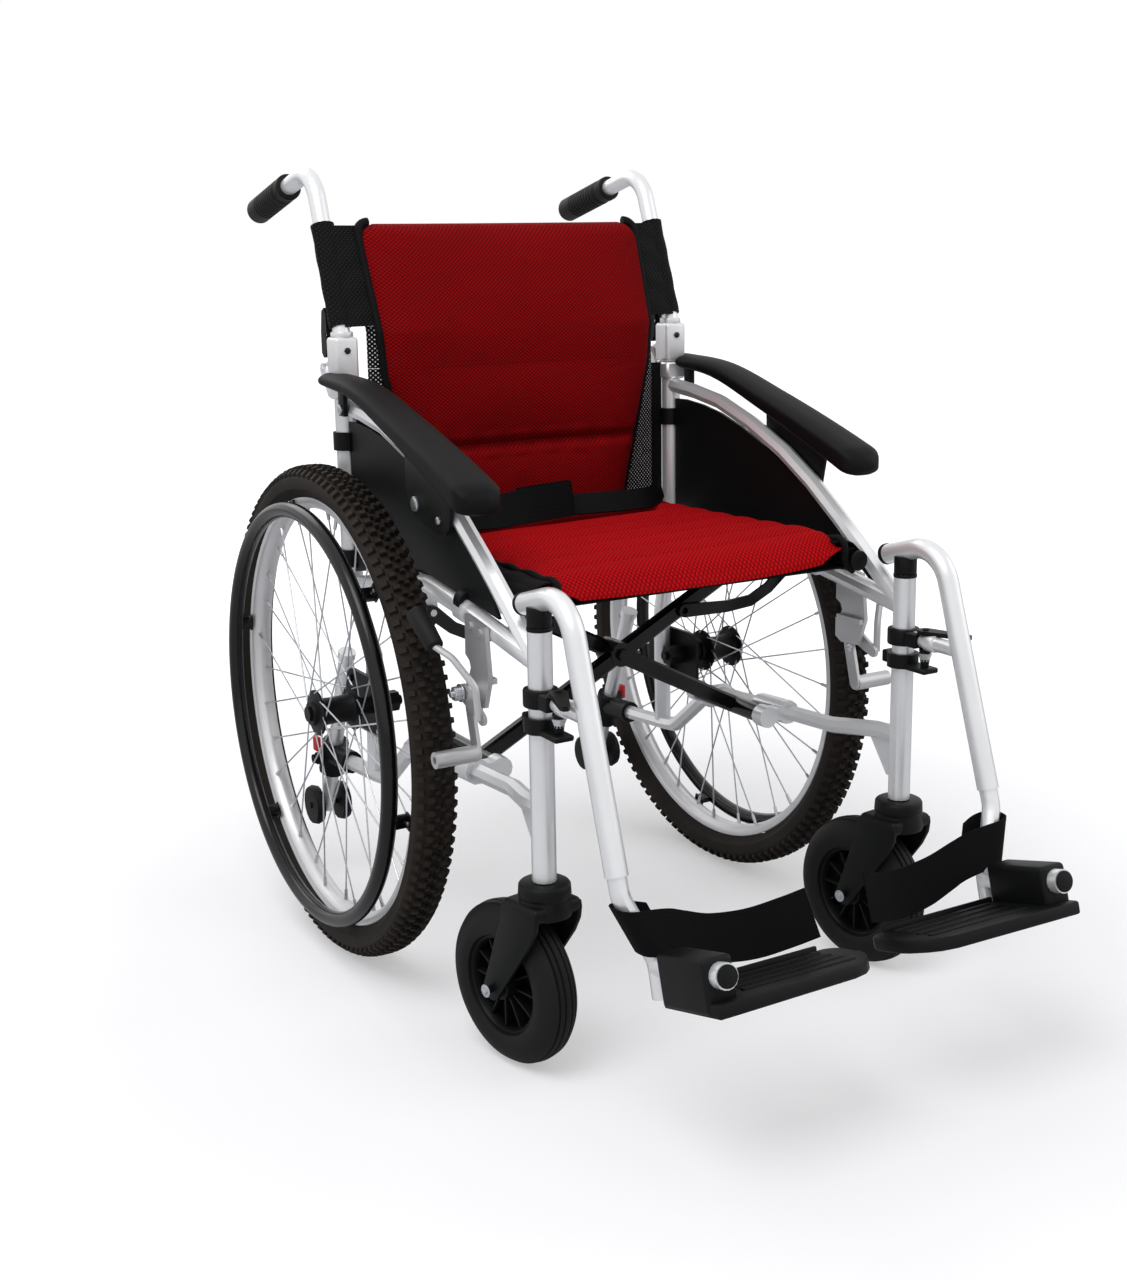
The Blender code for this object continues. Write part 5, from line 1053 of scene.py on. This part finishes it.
def back_surface(u, z, face):
    """A point of the back pad: crowned front, drawn in at its sides, with the lumbar seam."""
    corner = max(0.0, z - BACK_TOP + BACK_CORNER) / BACK_CORNER
    x = u * (back_half_width(z) - 0.022 * (1 - math.sqrt(max(0.0, 1 - corner * corner))))
    fall = edge_fall(u, 6)
    for distance in (BACK_TOP - z, z - BACK_BOTTOM):
        if distance < BACK_ROLL:
            fall *= edge_fall(1 - max(0.0, distance) / BACK_ROLL, 4)
    seam = 0.0110 * math.exp(-((z - LUMBAR_Z) / 0.0065) ** 2)
    seam += 0.0014 * math.exp(-((z - LUMBAR_Z) / 0.02) ** 2) * math.sin(x * 150)
    base = back_plane(z) - 0.010 + 0.014 * (1 - u * u)
    y = base - 0.004 - (0.0300 - seam) * fall if face > 0 else base
    return Vector((x, y + AXLE_Y, z))


def back_half(name, low, high, body):
    """One half of the red back pad, swollen between its seams."""
    def place(u, v, face):
        return back_surface(math.sin(u * math.pi / 2 * 0.999), low + (high - low) * (v + 1) / 2, face)

    def held(point):
        seam = abs(point.z - LUMBAR_Z) < 0.005 or point.z - low < 0.006 or high - point.z < 0.006
        edge = abs(point.x) > back_half_width(point.z) - 0.006
        return seam or edge or point.y - AXLE_Y > back_plane(point.z) - 0.011

    half = inflated(soft_form(84, round((high - low) / 0.0032), place), held, 0.005)
    # The back pad takes the backrest's red, darkened as painted shade.
    dressed(half, f"back_pad_red_{name}", "red_spacer_mesh", body, f"back_pad_{name}", 55)
    fold_back_flat(half)


def back_piping(name, low, high, side):
    """Path of the black piping up one side of a half, and round the top corner of the upper one."""
    edge = []
    for i in range(41):
        z = low + (high - low) * i / 40
        edge.append(at(side, back_half_width(z) + 0.0015, back_plane(z) - 0.013, z))
    if name == "lower":
        return edge
    edge = edge[:-4]
    for turn in range(1, 7):
        swing = turn / 6 * math.pi / 2
        w = back_half_width(BACK_TOP) - 0.014 + 0.0155 * math.cos(swing)
        z = BACK_TOP - 0.012 + 0.014 * math.sin(swing)
        edge.append(at(side, w, back_plane(z) - 0.014, z))
    return edge


def model_back_pads():
    """Red back pad in two pieces that meet at the folding height, with black piping."""
    for name, low, high, body in (("upper", BACK_FOLD_Z + 0.0001, BACK_TOP, "back_right"),
                                  ("lower", BACK_BOTTOM, BACK_FOLD_Z - 0.0001, "frame_right")):
        back_half(name, low, high, body)
        for hand, side in HANDS:
            piping = tube(back_piping(name, low, high, side), 0.0056, 14)
            dressed(piping, f"piping_{name}_{hand}", "seat_canvas", body)
            fold_back_flat(piping)


def net_sleeve(hand, side):
    """Net stocking round the upper tube."""
    start = at(side, FRAME_X, back_plane(0.757), 0.757)
    end = at(side, FRAME_X, back_plane(0.877), 0.877)
    length = (end - start).length
    radius = HANDLE_TUBE_RADIUS + 0.0009
    ripples = [(radius + 0.0022 + 0.0005 * math.sin(i * 1.7), length * i / 12) for i in range(13)]
    place = Matrix.Translation(start) @ facing(end - start)
    sleeve = turned([(radius, 0.0), *ripples, (radius, length)], place, 36)
    fitted(hand, sleeve, "net_sleeve", "black_net", "back", None, 50)


def net_wing(hand, side):
    """Net from the red pad's edge to the upper tube."""
    def place(u, v):
        z = 0.758 + 0.118 * v
        inner = back_half_width(z) - 0.004
        y = back_plane(z) - 0.0118 - 0.002 * math.sin(u * math.pi) + 0.0007 * math.sin(v * 21 + u * 5)
        return at(side, inner + (FRAME_X - 0.002 - inner) * u, y, z)

    wing = soft_sheet(14, 30, 0.0024, place)
    dressed(wing, f"net_wing_{hand}", "black_net", "back_right", None, 50)
    fold_back_flat(wing)


def net_strip(hand, side, part, low, high, body):
    """Open net beside the red pad, above or below the folding height."""
    def place(u, v):
        z = low + (high - low) * v
        inner = back_half_width(z) - 0.003
        return at(side, inner + (0.2040 - inner) * u, back_plane(z) - 0.012 + 0.012 * u, z)

    strip = soft_sheet(10, 50, 0.0016, place)
    dressed(strip, f"net_strip_{part}_{hand}", "open_net", body, None, 50)
    fold_back_flat(strip)


def model_back_net(hand, side):
    """Black net sleeve round the upper tube, its wing, the net strips below it and their hem."""
    net_sleeve(hand, side)
    net_wing(hand, side)
    net_strip(hand, side, "upper", BACK_FOLD_Z + 0.0002, 0.757, "back_right")
    net_strip(hand, side, "lower", 0.500, BACK_FOLD_Z - 0.0002, "frame_right")
    hem = block_at(side, (0.1980, 0.0422, 0.5000), (0.2224, 0.0446, 0.6940), 0.0008)
    fitted(hand, hem, "net_hem", "seat_canvas", "frame")


# Footplates and heel straps
PLATE_DROP = -0.036


def foot_place(side):
    """The footplate's pivot: X inboard, Y rearward along the pivot bar, Z up off the footplate."""
    inboard = Vector((-side, 0, 0))
    rear = Vector((0, math.cos(FOOT_TILT), -math.sin(FOOT_TILT)))
    up = Vector((0, math.sin(FOOT_TILT), math.cos(FOOT_TILT)))
    turn = Matrix((inboard, rear, up)).transposed().to_4x4()
    return Matrix.Translation(at(side, 0.207, -0.709, 0.214)) @ turn


def model_heel_strap(hand, side):
    """Wide webbing looped round the leg tube and sewn, hung across to the footplate's inner corner."""
    insert = 0.020
    top = Vector((FRAME_X, HANGER_END[0] - insert * math.sin(HANGER_LEAN),
                  HANGER_END[1] - insert * math.cos(HANGER_LEAN)))
    low = Vector((0.2085, -0.599, 0.186))
    middle = (top + low) / 2
    along = (at(side, *top) - at(side, *low)).normalized()
    loop = [(-0.0290, 0.0100, -0.0050), (-0.0120, 0.0145, -0.0010), (0.0020, 0.0148, 0.0010),
            (0.0125, 0.0090, 0.0020), (0.0145, -0.0010, 0.0025), (0.0110, -0.0110, 0.0020),
            (0.0, -0.0150, 0.0005), (-0.0150, -0.0130, -0.0020)]
    knots = [middle + Vector(step) for step in loop]
    knots += [(0.1830, -0.5975, 0.2090), (0.1650, -0.5945, 0.2010), (0.1350, -0.5930, 0.1900),
              (0.0950, -0.5950, 0.1860), (0.0600, -0.6050, 0.1935), (0.0350, -0.6130, 0.2010)]
    path = flowing([at(side, *p) for p in knots], 7)
    leans = []
    for index in range(len(path)):
        share = max(0.0, index / (len(path) - 1) - 0.5) * 2
        hung = Vector((0.10 * side, 0.20 + 0.25 * share, 0.96)).normalized()
        leans.append(along.lerp(hung, min(1.0, share * 1.6)).normalized())
    band = strap(path, leans, 0.050, 0.0020)
    dressed(band, f"heel_webbing_{hand}", "black_webbing", None, f"heel_strap_{hand}", 45)
    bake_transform(band)


def model_footplate(hand, side):
    """Moulded footplate: rounded tread plate with fine grip ribs, heel lip and the pivot housing."""
    place = foot_place(side)
    outline = [(-0.0150, -0.0019), (0.0300, -0.0006), (0.1440, 0.0038), (0.1600, 0.0090), (0.1710, 0.0185),
               (0.1815, 0.0340), (0.1850, 0.0440), (0.1850, 0.0790), (0.1810, 0.0865), (0.1730, 0.0920),
               (-0.0150, 0.0920)]
    pieces = [plate(outline, 0.0140, place @ Matrix.Translation((0, 0, PLATE_DROP + 0.0070)), 0.0028)]
    # Low and high corner and bevel of each block; the heights are above the plate's underside
    housing = ((-0.0165, 0.0110, 0.001), (0.0165, 0.0915, 0.0527), 0.0050, 4)
    wide_ribs = [((0.0300, y, 0.0120), (0.1600, y + 0.0070, 0.0158), 0.0014, 2)
                 for y in (0.022, 0.040, 0.058, 0.076)]
    fine_ribs = [((0.0320, y, 0.0130), (0.1580, y + 0.0030, 0.0148), 0.0008, 2)
                 for y in (0.0335, 0.0515, 0.0695)]
    lip = ((0.0165, 0.0880, 0.002), (0.1650, 0.0917, 0.0190), 0.0014, 2)
    raised = place @ Matrix.Translation((0, 0, PLATE_DROP))
    for low, high, bevel, segments in (housing, *wide_ribs, *fine_ribs, lip):
        pieces.append(cuboid(low, high, bevel, raised, segments))
    fitted(hand, joined(pieces), "foot_tread", "moulded_abs", "footplate", "footplate")


# Armrests
PAD_X = 0.2500
PAD_LINE = ((0.046, 0.7060), (-0.060, 0.6980), (-0.165, 0.6690), (-0.260, 0.6390), (-0.348, 0.6080))
BRACKET_X = FRAME_X + 0.0098 + 0.0003


def model_arm_pad(hand, side):
    """Moulded arm pad, broad and blunt in front, tapering back to the post."""
    line = flowing([Vector((0, y, z)) for y, z in PAD_LINE], 60)
    reach = reaches(line)

    def place(u, v, face):
        share = (math.sin(v * math.pi / 2) + 1) / 2
        index = min(range(len(line)), key=lambda i: abs(reach[i] - share * reach[-1]))
        spot = line[index]
        thick = 0.017 + 0.017 * share
        nearest = min(share, 1 - share) * reach[-1]
        blunt = 0.024 if share > 0.5 else 0.014
        ends = math.sqrt(max(0.0, 1 - (1 - min(1.0, nearest / blunt)) ** 2.4))
        across = math.sin(u * math.pi / 2)
        half = (0.0215 + 0.0060 * share) * (0.12 + 0.88 * ends)
        x = PAD_X + across * half
        if spot.y > 0.0230:
            x = max(x, ARM_POST_FACE)
        round_off = abs(across) ** 3
        top = spot.z - 0.0065 * round_off - 0.40 * thick * (1 - ends)
        low = spot.z - thick * (0.50 + 0.50 * ends) + 0.0055 * round_off
        return at(side, x, spot.y, top if face > 0 else low)

    pad = modified(soft_form(24, 110, place), "REMESH", mode="VOXEL", voxel_size=0.0022)
    modified(pad, "SMOOTH", factor=0.5, iterations=6)
    fitted(hand, pad, "arm_pad", "soft_arm_pad", "frame", "armrest", 60)


def model_arm_bracket(hand, side):
    """Plate and clamp that hold the arm pad on the curved arm tube, with their screws."""
    inner = BRACKET_X
    outline = [(-0.1580, 0.6520), (-0.2750, 0.6120), (-0.2735, 0.5900), (-0.2660, 0.5560),
               (-0.2540, 0.5478), (-0.2400, 0.5460), (-0.1850, 0.5580), (-0.1680, 0.5700),
               (-0.1600, 0.5900)]
    bracket = side_plate(side, inner, inner + 0.0050, outline, 0.0012)
    rear = block_at(side, (inner, 0.0060, 0.6540), (inner + 0.006, 0.0235, 0.6900), 0.0012)
    fitted(hand, joined([bracket, rear]), "arm_bracket", "moulded_abs", "frame")
    screws = ((-0.1870, 0.5740, 0.0085), (-0.2450, 0.5630, 0.0045), (0.0150, 0.6620, 0.0060))
    heads = [rod_at(side, (inner + 0.0048, y, z), (inner + 0.0085, y, z), radius, 28, 0.0010)
             for y, z, radius in screws]
    fitted(hand, joined(heads), "arm_screws", "zinc_plated_steel", "frame")


# Small fittings
BRAKE_PIVOT = (-0.3110, 0.3900)
BRAKE_SCREW = (0.2486, -0.3230)


def model_leg_fittings(hand, side):
    """Caps of the seat tube and footplate bar, the latch pin and the collar on the hanger's stub."""
    cap = rod_at(side, (SEAT_TUBE_X, -0.3858, SEAT_TUBE_Z), (SEAT_TUBE_X, -0.3905, SEAT_TUBE_Z),
                 0.0118, 32, 0.0018)
    dressed(cap, f"seat_tube_cap_{hand}", "moulded_abs", "brace_front" if side > 0 else "brace_rear")
    cap = rod_in(foot_place(side), (0, 0.0004, 0), (0, -0.0022, 0), 0.0108, 32, 0.0008)
    fitted(hand, cap, "foot_bar_cap", "moulded_abs", "leg")
    pin = turned([(0.0, 0.3868), (0.0048, 0.3868), (0.0052, 0.3874), (0.0052, 0.3886), (0.0076, 0.3950),
                  (0.0076, 0.3962), (0.0060, 0.3968), (0.0060, 0.3992), (0.0, 0.3992)],
                 Matrix.Translation(at(side, FRAME_X, LATCH_Y, 0)), 32)
    fitted(hand, pin, "latch_pin", "zinc_plated_steel", "latch_lever")
    spacer = rod_at(side, (FRAME_X, LATCH_Y - 0.0035, STUB_Z), (FRAME_X, LATCH_Y - 0.0180, STUB_Z),
                    0.0098, 32, 0.0008)
    fitted(hand, spacer, "stub_spacer", "satin_silver_paint", "hanger")


def model_frame_fittings(hand, side):
    """Axle plate bolts, the bands on post and rail, and the coloured tab of the anti-tip socket."""
    bolts = [rod_at(side, (0.2362, y, z), (0.2378, y, z), 0.0030, 6)
             for y, z in ((-0.020, 0.269), (0.066, 0.269), (-0.020, 0.321), (0.066, 0.319))]
    fitted(hand, joined(bolts), "plate_bolts", "zinc_plated_steel", "frame")
    band = rod_at(side, (FRAME_X, FRONT_POST_Y, 0.4810), (FRAME_X, FRONT_POST_Y, 0.4770),
                  0.0132, 40, 0.0006)
    clip = rod_at(side, (FRAME_X, -0.2650, 0.4792), (FRAME_X, -0.2790, 0.4771), 0.0128, 32, 0.0010)
    fitted(hand, joined([band, clip]), "post_bush", "moulded_abs", "frame")
    tab = block_at(side, (0.2365, 0.1740, 0.1930), (0.2440, 0.1880, 0.2130), 0.0020)
    fitted(hand, tab, "release_tab", "red_plastic", "frame")


def model_caster_nuts(hand):
    """Washer and nut on each end of the caster's axle."""
    place = caster_place(hand)
    nuts = []
    for edge in (-1, 1):
        nuts.append(rod_in(place, (0, 0, edge * 0.0384), (0, 0, edge * 0.0396), 0.0070, 28, 0.0003))
        nuts.append(rod_in(place, (0, 0, edge * 0.0394), (0, 0, edge * 0.0420), 0.0038, 6, 0.0005))
    fitted(hand, joined(nuts), "caster_axle_nuts", "zinc_plated_steel", "caster_fork")


def model_brake_fittings(hand, side):
    """Rubber grip on the brake lever, and the nuts and screw of the brake."""
    start, end = at(side, 0.2970, -0.3210, 0.4463), at(side, 0.2990, -0.2820, 0.4750)
    ahead = (end - start).normalized()
    grip = rod(start - ahead * 0.001, end + ahead * 0.0008, 0.0096, 32, 0.0022, 0.0116)
    fitted(hand, grip, "brake_grip", "moulded_rubber", "brake_lever")
    # Distance outboard of the two ends, then radius, sides and bevel
    on_pivot = ((0.2641, 0.2657, 0.0098, 28, 0.0003), (0.2656, 0.2730, 0.0082, 6, 0.0006),
                (0.2728, 0.2768, 0.0040, 20, 0.0006))
    nuts = [rod_at(side, (inner, *BRAKE_PIVOT), (outer, *BRAKE_PIVOT), *shape)
            for inner, outer, *shape in on_pivot]
    # The same for the heights of the screw below
    on_screw = ((0.3768, 0.3706, 0.0040, 6, 0.0006), (0.3710, 0.3668, 0.0024, 16, 0.0004))
    nuts += [rod_at(side, (*BRAKE_SCREW, top), (*BRAKE_SCREW, low), *shape)
             for top, low, *shape in on_screw]
    fitted(hand, joined(nuts), "brake_nuts", "zinc_plated_steel", "frame")


# Stage
PICTURE = (1127, 1280)
FOCAL_PIXELS = 1617.216
OPTICAL_CENTRE = (552.36, 607.62)
SENSOR_WIDTH = 36.0
CAMERA_SPOT = Vector((-0.98568, -1.78697 + AXLE_Y, 0.83947))
CAMERA_TURN = (math.radians(29.4602), math.radians(12.3684), math.radians(-1.0652))
WHITE = (1.0, 1.0, 1.0, 1.0)


def set_camera():
    """The photograph's view, for a picture of 1127 by 1280."""
    azimuth, down, roll = CAMERA_TURN
    ahead = Vector((math.sin(azimuth) * math.cos(down), math.cos(azimuth) * math.cos(down),
                    -math.sin(down)))
    level = Vector((math.cos(azimuth), -math.sin(azimuth), 0))
    upright = level.cross(ahead)
    right = level * math.cos(roll) + upright * math.sin(roll)
    up = upright * math.cos(roll) - level * math.sin(roll)
    data = bpy.data.cameras.new("photo_view")
    data.sensor_fit = "HORIZONTAL"
    data.sensor_width = SENSOR_WIDTH
    data.lens = SENSOR_WIDTH * FOCAL_PIXELS / PICTURE[0]
    data.shift_x = (PICTURE[0] / 2 - OPTICAL_CENTRE[0]) / PICTURE[0]
    data.shift_y = (OPTICAL_CENTRE[1] - PICTURE[1] / 2) / PICTURE[0]
    camera = bpy.data.objects.new("photo_view", data)
    turn = Matrix((right, up, -ahead)).transposed().to_4x4()
    camera.matrix_world = Matrix.Translation(CAMERA_SPOT) @ turn
    bpy.context.scene.collection.objects.link(camera)
    bpy.context.scene.camera = camera


def add_lamp(name, spot, size, power):
    """A round lamp that points at the middle of the chair."""
    data = bpy.data.lights.new(name, "AREA")
    data.shape = "DISK"
    data.size = size
    data.energy = power
    lamp = bpy.data.objects.new(name, data)
    lamp.location = spot
    lamp.rotation_euler = (Vector((0, 0, 0.4)) - Vector(spot)).to_track_quat("-Z", "Y").to_euler()
    bpy.context.scene.collection.objects.link(lamp)


def lay_floor():
    """Pale painted floor that the camera sees brighter, and brighter still far from the chair."""
    floor = primitive("plane", size=120.0, location=(0, 0, -0.0005))
    floor.name = "studio_floor"
    material, tree, shader = blank_finish("pale_floor", Roughness=0.9, Specular_IOR_Level=0.1)
    place = add_node(tree, "ShaderNodeTexCoord").outputs["Object"]
    cloud = add_node(tree, "ShaderNodeTexNoise", inputs={"Vector": place, "Scale": 1.2, "Detail": 3.0})
    tint = add_node(tree, "ShaderNodeValToRGB", inputs={"Fac": cloud.outputs["Fac"]},
                    stops=[(0.3, linear("#CFCFD2")), (0.7, linear("#D6D6D9"))])
    tree.links.new(tint.outputs["Color"], shader.inputs["Base Color"])
    rays = add_node(tree, "ShaderNodeLightPath")
    flat = add_node(tree, "ShaderNodeVectorMath", {"operation": "LENGTH"}, {0: place})
    far = add_node(tree, "ShaderNodeMapRange", inputs={
        "Value": flat.outputs["Value"], "From Min": 0.6, "From Max": 2.2, "To Min": 0.36, "To Max": 0.75})
    lift = add_node(tree, "ShaderNodeMath", {"operation": "MULTIPLY"},
                    {0: rays.outputs["Is Camera Ray"], 1: far.outputs["Result"]})
    shader.inputs["Emission Color"].default_value = WHITE
    tree.links.new(lift.outputs["Value"], shader.inputs["Emission Strength"])
    floor.data.materials.append(material)


def light_sky(sky):
    """Even light, stronger from the upper front right; white where it is seen or mirrored."""
    world = bpy.data.worlds.new("studio")
    bpy.context.scene.world = world
    world.use_nodes = True
    tree = world.node_tree
    ground = tree.nodes["Background"]
    ground.inputs["Color"].default_value = WHITE
    rays = add_node(tree, "ShaderNodeLightPath").outputs
    mirrored = add_node(tree, "ShaderNodeMath", {"operation": "MAXIMUM"},
                        {0: rays["Is Glossy Ray"], 1: rays["Is Transmission Ray"]})
    seen = add_node(tree, "ShaderNodeMath", {"operation": "MAXIMUM"},
                    {0: rays["Is Camera Ray"], 1: mirrored.outputs["Value"]})
    way = add_node(tree, "ShaderNodeTexCoord").outputs["Generated"]
    lit = add_node(tree, "ShaderNodeVectorMath", {"operation": "DOT_PRODUCT"},
                   {0: way, 1: (-0.55, -0.35, 0.76)})
    light = add_node(tree, "ShaderNodeMapRange", inputs={
        "Value": lit.outputs["Value"], "From Min": -0.35, "To Min": sky * 0.30, "To Max": sky * 1.35})
    level = add_node(tree, "ShaderNodeMix", {"data_type": "FLOAT"},
                     {"Factor": seen.outputs["Value"], "A": light.outputs["Result"], "B": 1.0})
    tree.links.new(level.outputs["Result"], ground.inputs["Strength"])


def set_stage(settings):
    """Plain pale floor, even sky light and broad lamps."""
    lay_floor()
    light_sky(settings.sky)
    add_lamp("key", (-1.6, -0.9, 3.2), 2.0, settings.key)
    add_lamp("fill", (2.4, -1.4, 1.8), 2.4, settings.key * 0.25)
    add_lamp("rear", (-0.4, 2.6, 2.4), 2.0, settings.key * 0.4)
    bpy.context.scene.view_settings.view_transform = "Standard"
    set_camera()


# Settings, operators and panel
class WheelchairColours(bpy.types.PropertyGroup):
    paint: bpy.props.FloatVectorProperty(
        name="Tube paint", description="Colour of the silver tubes", subtype="COLOR",
        default=linear("#E9EAEC"), min=0.0, max=1.0)
    upholstery: bpy.props.FloatVectorProperty(
        name="Upholstery", description="Colour of the seat and back mesh", subtype="COLOR",
        default=linear("#BE0A12"), min=0.0, max=1.0)
    plastic: bpy.props.FloatVectorProperty(
        name="Mouldings", description="Colour of the moulded parts", subtype="COLOR",
        default=linear("#0C0D0E"), min=0.0, max=1.0)


class WheelchairSettings(bpy.types.PropertyGroup):
    knobs: bpy.props.IntProperty(
        name="Tread knobs", description="Knobs in each row round a rear tyre", default=118, min=40,
        max=200)
    sky: bpy.props.FloatProperty(
        name="Sky light", description="Strength of the even light from all round", default=0.66, min=0.0)
    key: bpy.props.FloatProperty(
        name="Key lamp", description="Power of the broad key lamp", default=40.0, min=0.0, unit="POWER")


class MixFinishes(bpy.types.Operator):
    """Make the finishes and give each carried-over node its own"""
    bl_idname = "wheelchair.mix_finishes"
    bl_label = "Finishes"

    def execute(self, context):
        mix_finishes(context.scene.wheelchair_colours)
        for name, obj in frame["nodes"].items():
            matches = [finish for finish, starts in NODE_FINISHES.items() if name.startswith(starts)]
            obj.data.materials.clear()
            obj.data.materials.append(FINISHES[matches[0] if matches else "moulded_abs"])
            obj.data.polygons.foreach_set("use_smooth", [True] * len(obj.data.polygons))
            weld = obj.modifiers.new("weld", "WELD")
            weld.merge_threshold = WELD_DISTANCE
            split = obj.modifiers.new("edges", "EDGE_SPLIT")
            split.split_angle = math.radians(36)
        return {"FINISHED"}


class RearWheels(bpy.types.Operator):
    """Tyres, rims, spokes, hubs and hand rims"""
    bl_idname = "wheelchair.rear_wheels"
    bl_label = "Rear wheels"

    def execute(self, context):
        for hand, side in HANDS:
            model_tyre(hand, side, context.scene.wheelchair_settings.knobs)
            model_rim(hand, side)
            model_hub(hand, side)
            model_handrim(hand, side)
        return {"FINISHED"}


class CasterWheels(bpy.types.Operator):
    """Front caster tyres, wheels and forks"""
    bl_idname = "wheelchair.caster_wheels"
    bl_label = "Caster wheels"

    def execute(self, context):
        for hand, side in HANDS:
            model_caster_wheel(hand)
            model_caster_fork(hand)
        return {"FINISHED"}


class BackTubes(bpy.types.Operator):
    """Folding back tubes, castings and push grips"""
    bl_idname = "wheelchair.back_tubes"
    bl_label = "Back tubes and grips"

    def execute(self, context):
        for hand, side in HANDS:
            model_back_tube(hand, side)
            model_push_grip(hand, side)
        return {"FINISHED"}


class FootHangers(bpy.types.Operator):
    """Swing-away hangers"""
    bl_idname = "wheelchair.foot_hangers"
    bl_label = "Footrest hangers"

    def execute(self, context):
        for hand, side in HANDS:
            model_hanger(hand, side)
        return {"FINISHED"}


class SeatUpholstery(bpy.types.Operator):
    """Seat cushion, canvas and lap belt"""
    bl_idname = "wheelchair.seat_upholstery"
    bl_label = "Seat upholstery"

    def execute(self, context):
        model_seat_cushion()
        model_seat_sling()
        model_lap_belt()
        return {"FINISHED"}


class BackUpholstery(bpy.types.Operator):
    """Back pads, piping and net"""
    bl_idname = "wheelchair.back_upholstery"
    bl_label = "Back upholstery"

    def execute(self, context):
        model_back_pads()
        for hand, side in HANDS:
            model_back_net(hand, side)
        return {"FINISHED"}


class HeelStraps(bpy.types.Operator):
    """Footplates, and the webbing straps behind the heels"""
    bl_idname = "wheelchair.heel_straps"
    bl_label = "Footplates and heel straps"

    def execute(self, context):
        for hand, side in HANDS:
            model_heel_strap(hand, side)
            model_footplate(hand, side)
        return {"FINISHED"}


class ArmPads(bpy.types.Operator):
    """Arm pads with their brackets"""
    bl_idname = "wheelchair.arm_pads"
    bl_label = "Arm pads"

    def execute(self, context):
        for hand, side in HANDS:
            model_arm_pad(hand, side)
            model_arm_bracket(hand, side)
        return {"FINISHED"}


class SmallFittings(bpy.types.Operator):
    """Screws, caps, bands and tabs"""
    bl_idname = "wheelchair.small_fittings"
    bl_label = "Small fittings"

    def execute(self, context):
        for hand, side in HANDS:
            model_leg_fittings(hand, side)
            model_frame_fittings(hand, side)
            model_caster_nuts(hand)
            model_brake_fittings(hand, side)
        return {"FINISHED"}


class Stage(bpy.types.Operator):
    """Floor, light and camera"""
    bl_idname = "wheelchair.stage"
    bl_label = "Stage"

    def execute(self, context):
        set_stage(context.scene.wheelchair_settings)
        return {"FINISHED"}


STEPS = (MixFinishes, RearWheels, CasterWheels, BackTubes, FootHangers, SeatUpholstery, BackUpholstery,
         HeelStraps, ArmPads, SmallFittings, Stage)


class WheelchairPanel(bpy.types.Panel):
    """Sizes, colours and building steps of the wheelchair"""
    bl_idname = "VIEW3D_PT_wheelchair"
    bl_label = "Wheelchair"
    bl_space_type = "VIEW_3D"
    bl_region_type = "UI"
    bl_category = "Wheelchair"

    def draw(self, context):
        for group in (context.scene.wheelchair_colours, context.scene.wheelchair_settings):
            for name in group.__annotations__:
                self.layout.prop(group, name)
        for step in STEPS:
            self.layout.operator(step.bl_idname)


CLASSES = (WheelchairColours, WheelchairSettings, *STEPS, WheelchairPanel)


def register():
    for item in CLASSES:
        bpy.utils.register_class(item)
    bpy.types.Scene.wheelchair_colours = bpy.props.PointerProperty(type=WheelchairColours)
    bpy.types.Scene.wheelchair_settings = bpy.props.PointerProperty(type=WheelchairSettings)


def unregister():
    del bpy.types.Scene.wheelchair_settings
    del bpy.types.Scene.wheelchair_colours
    for item in reversed(CLASSES):
        bpy.utils.unregister_class(item)


def main():
    register()
    for step in STEPS:
        group, name = step.bl_idname.split(".")
        getattr(getattr(bpy.ops, group), name)()
    bpy.context.view_layer.update()


if __name__ == "__main__":
    main()
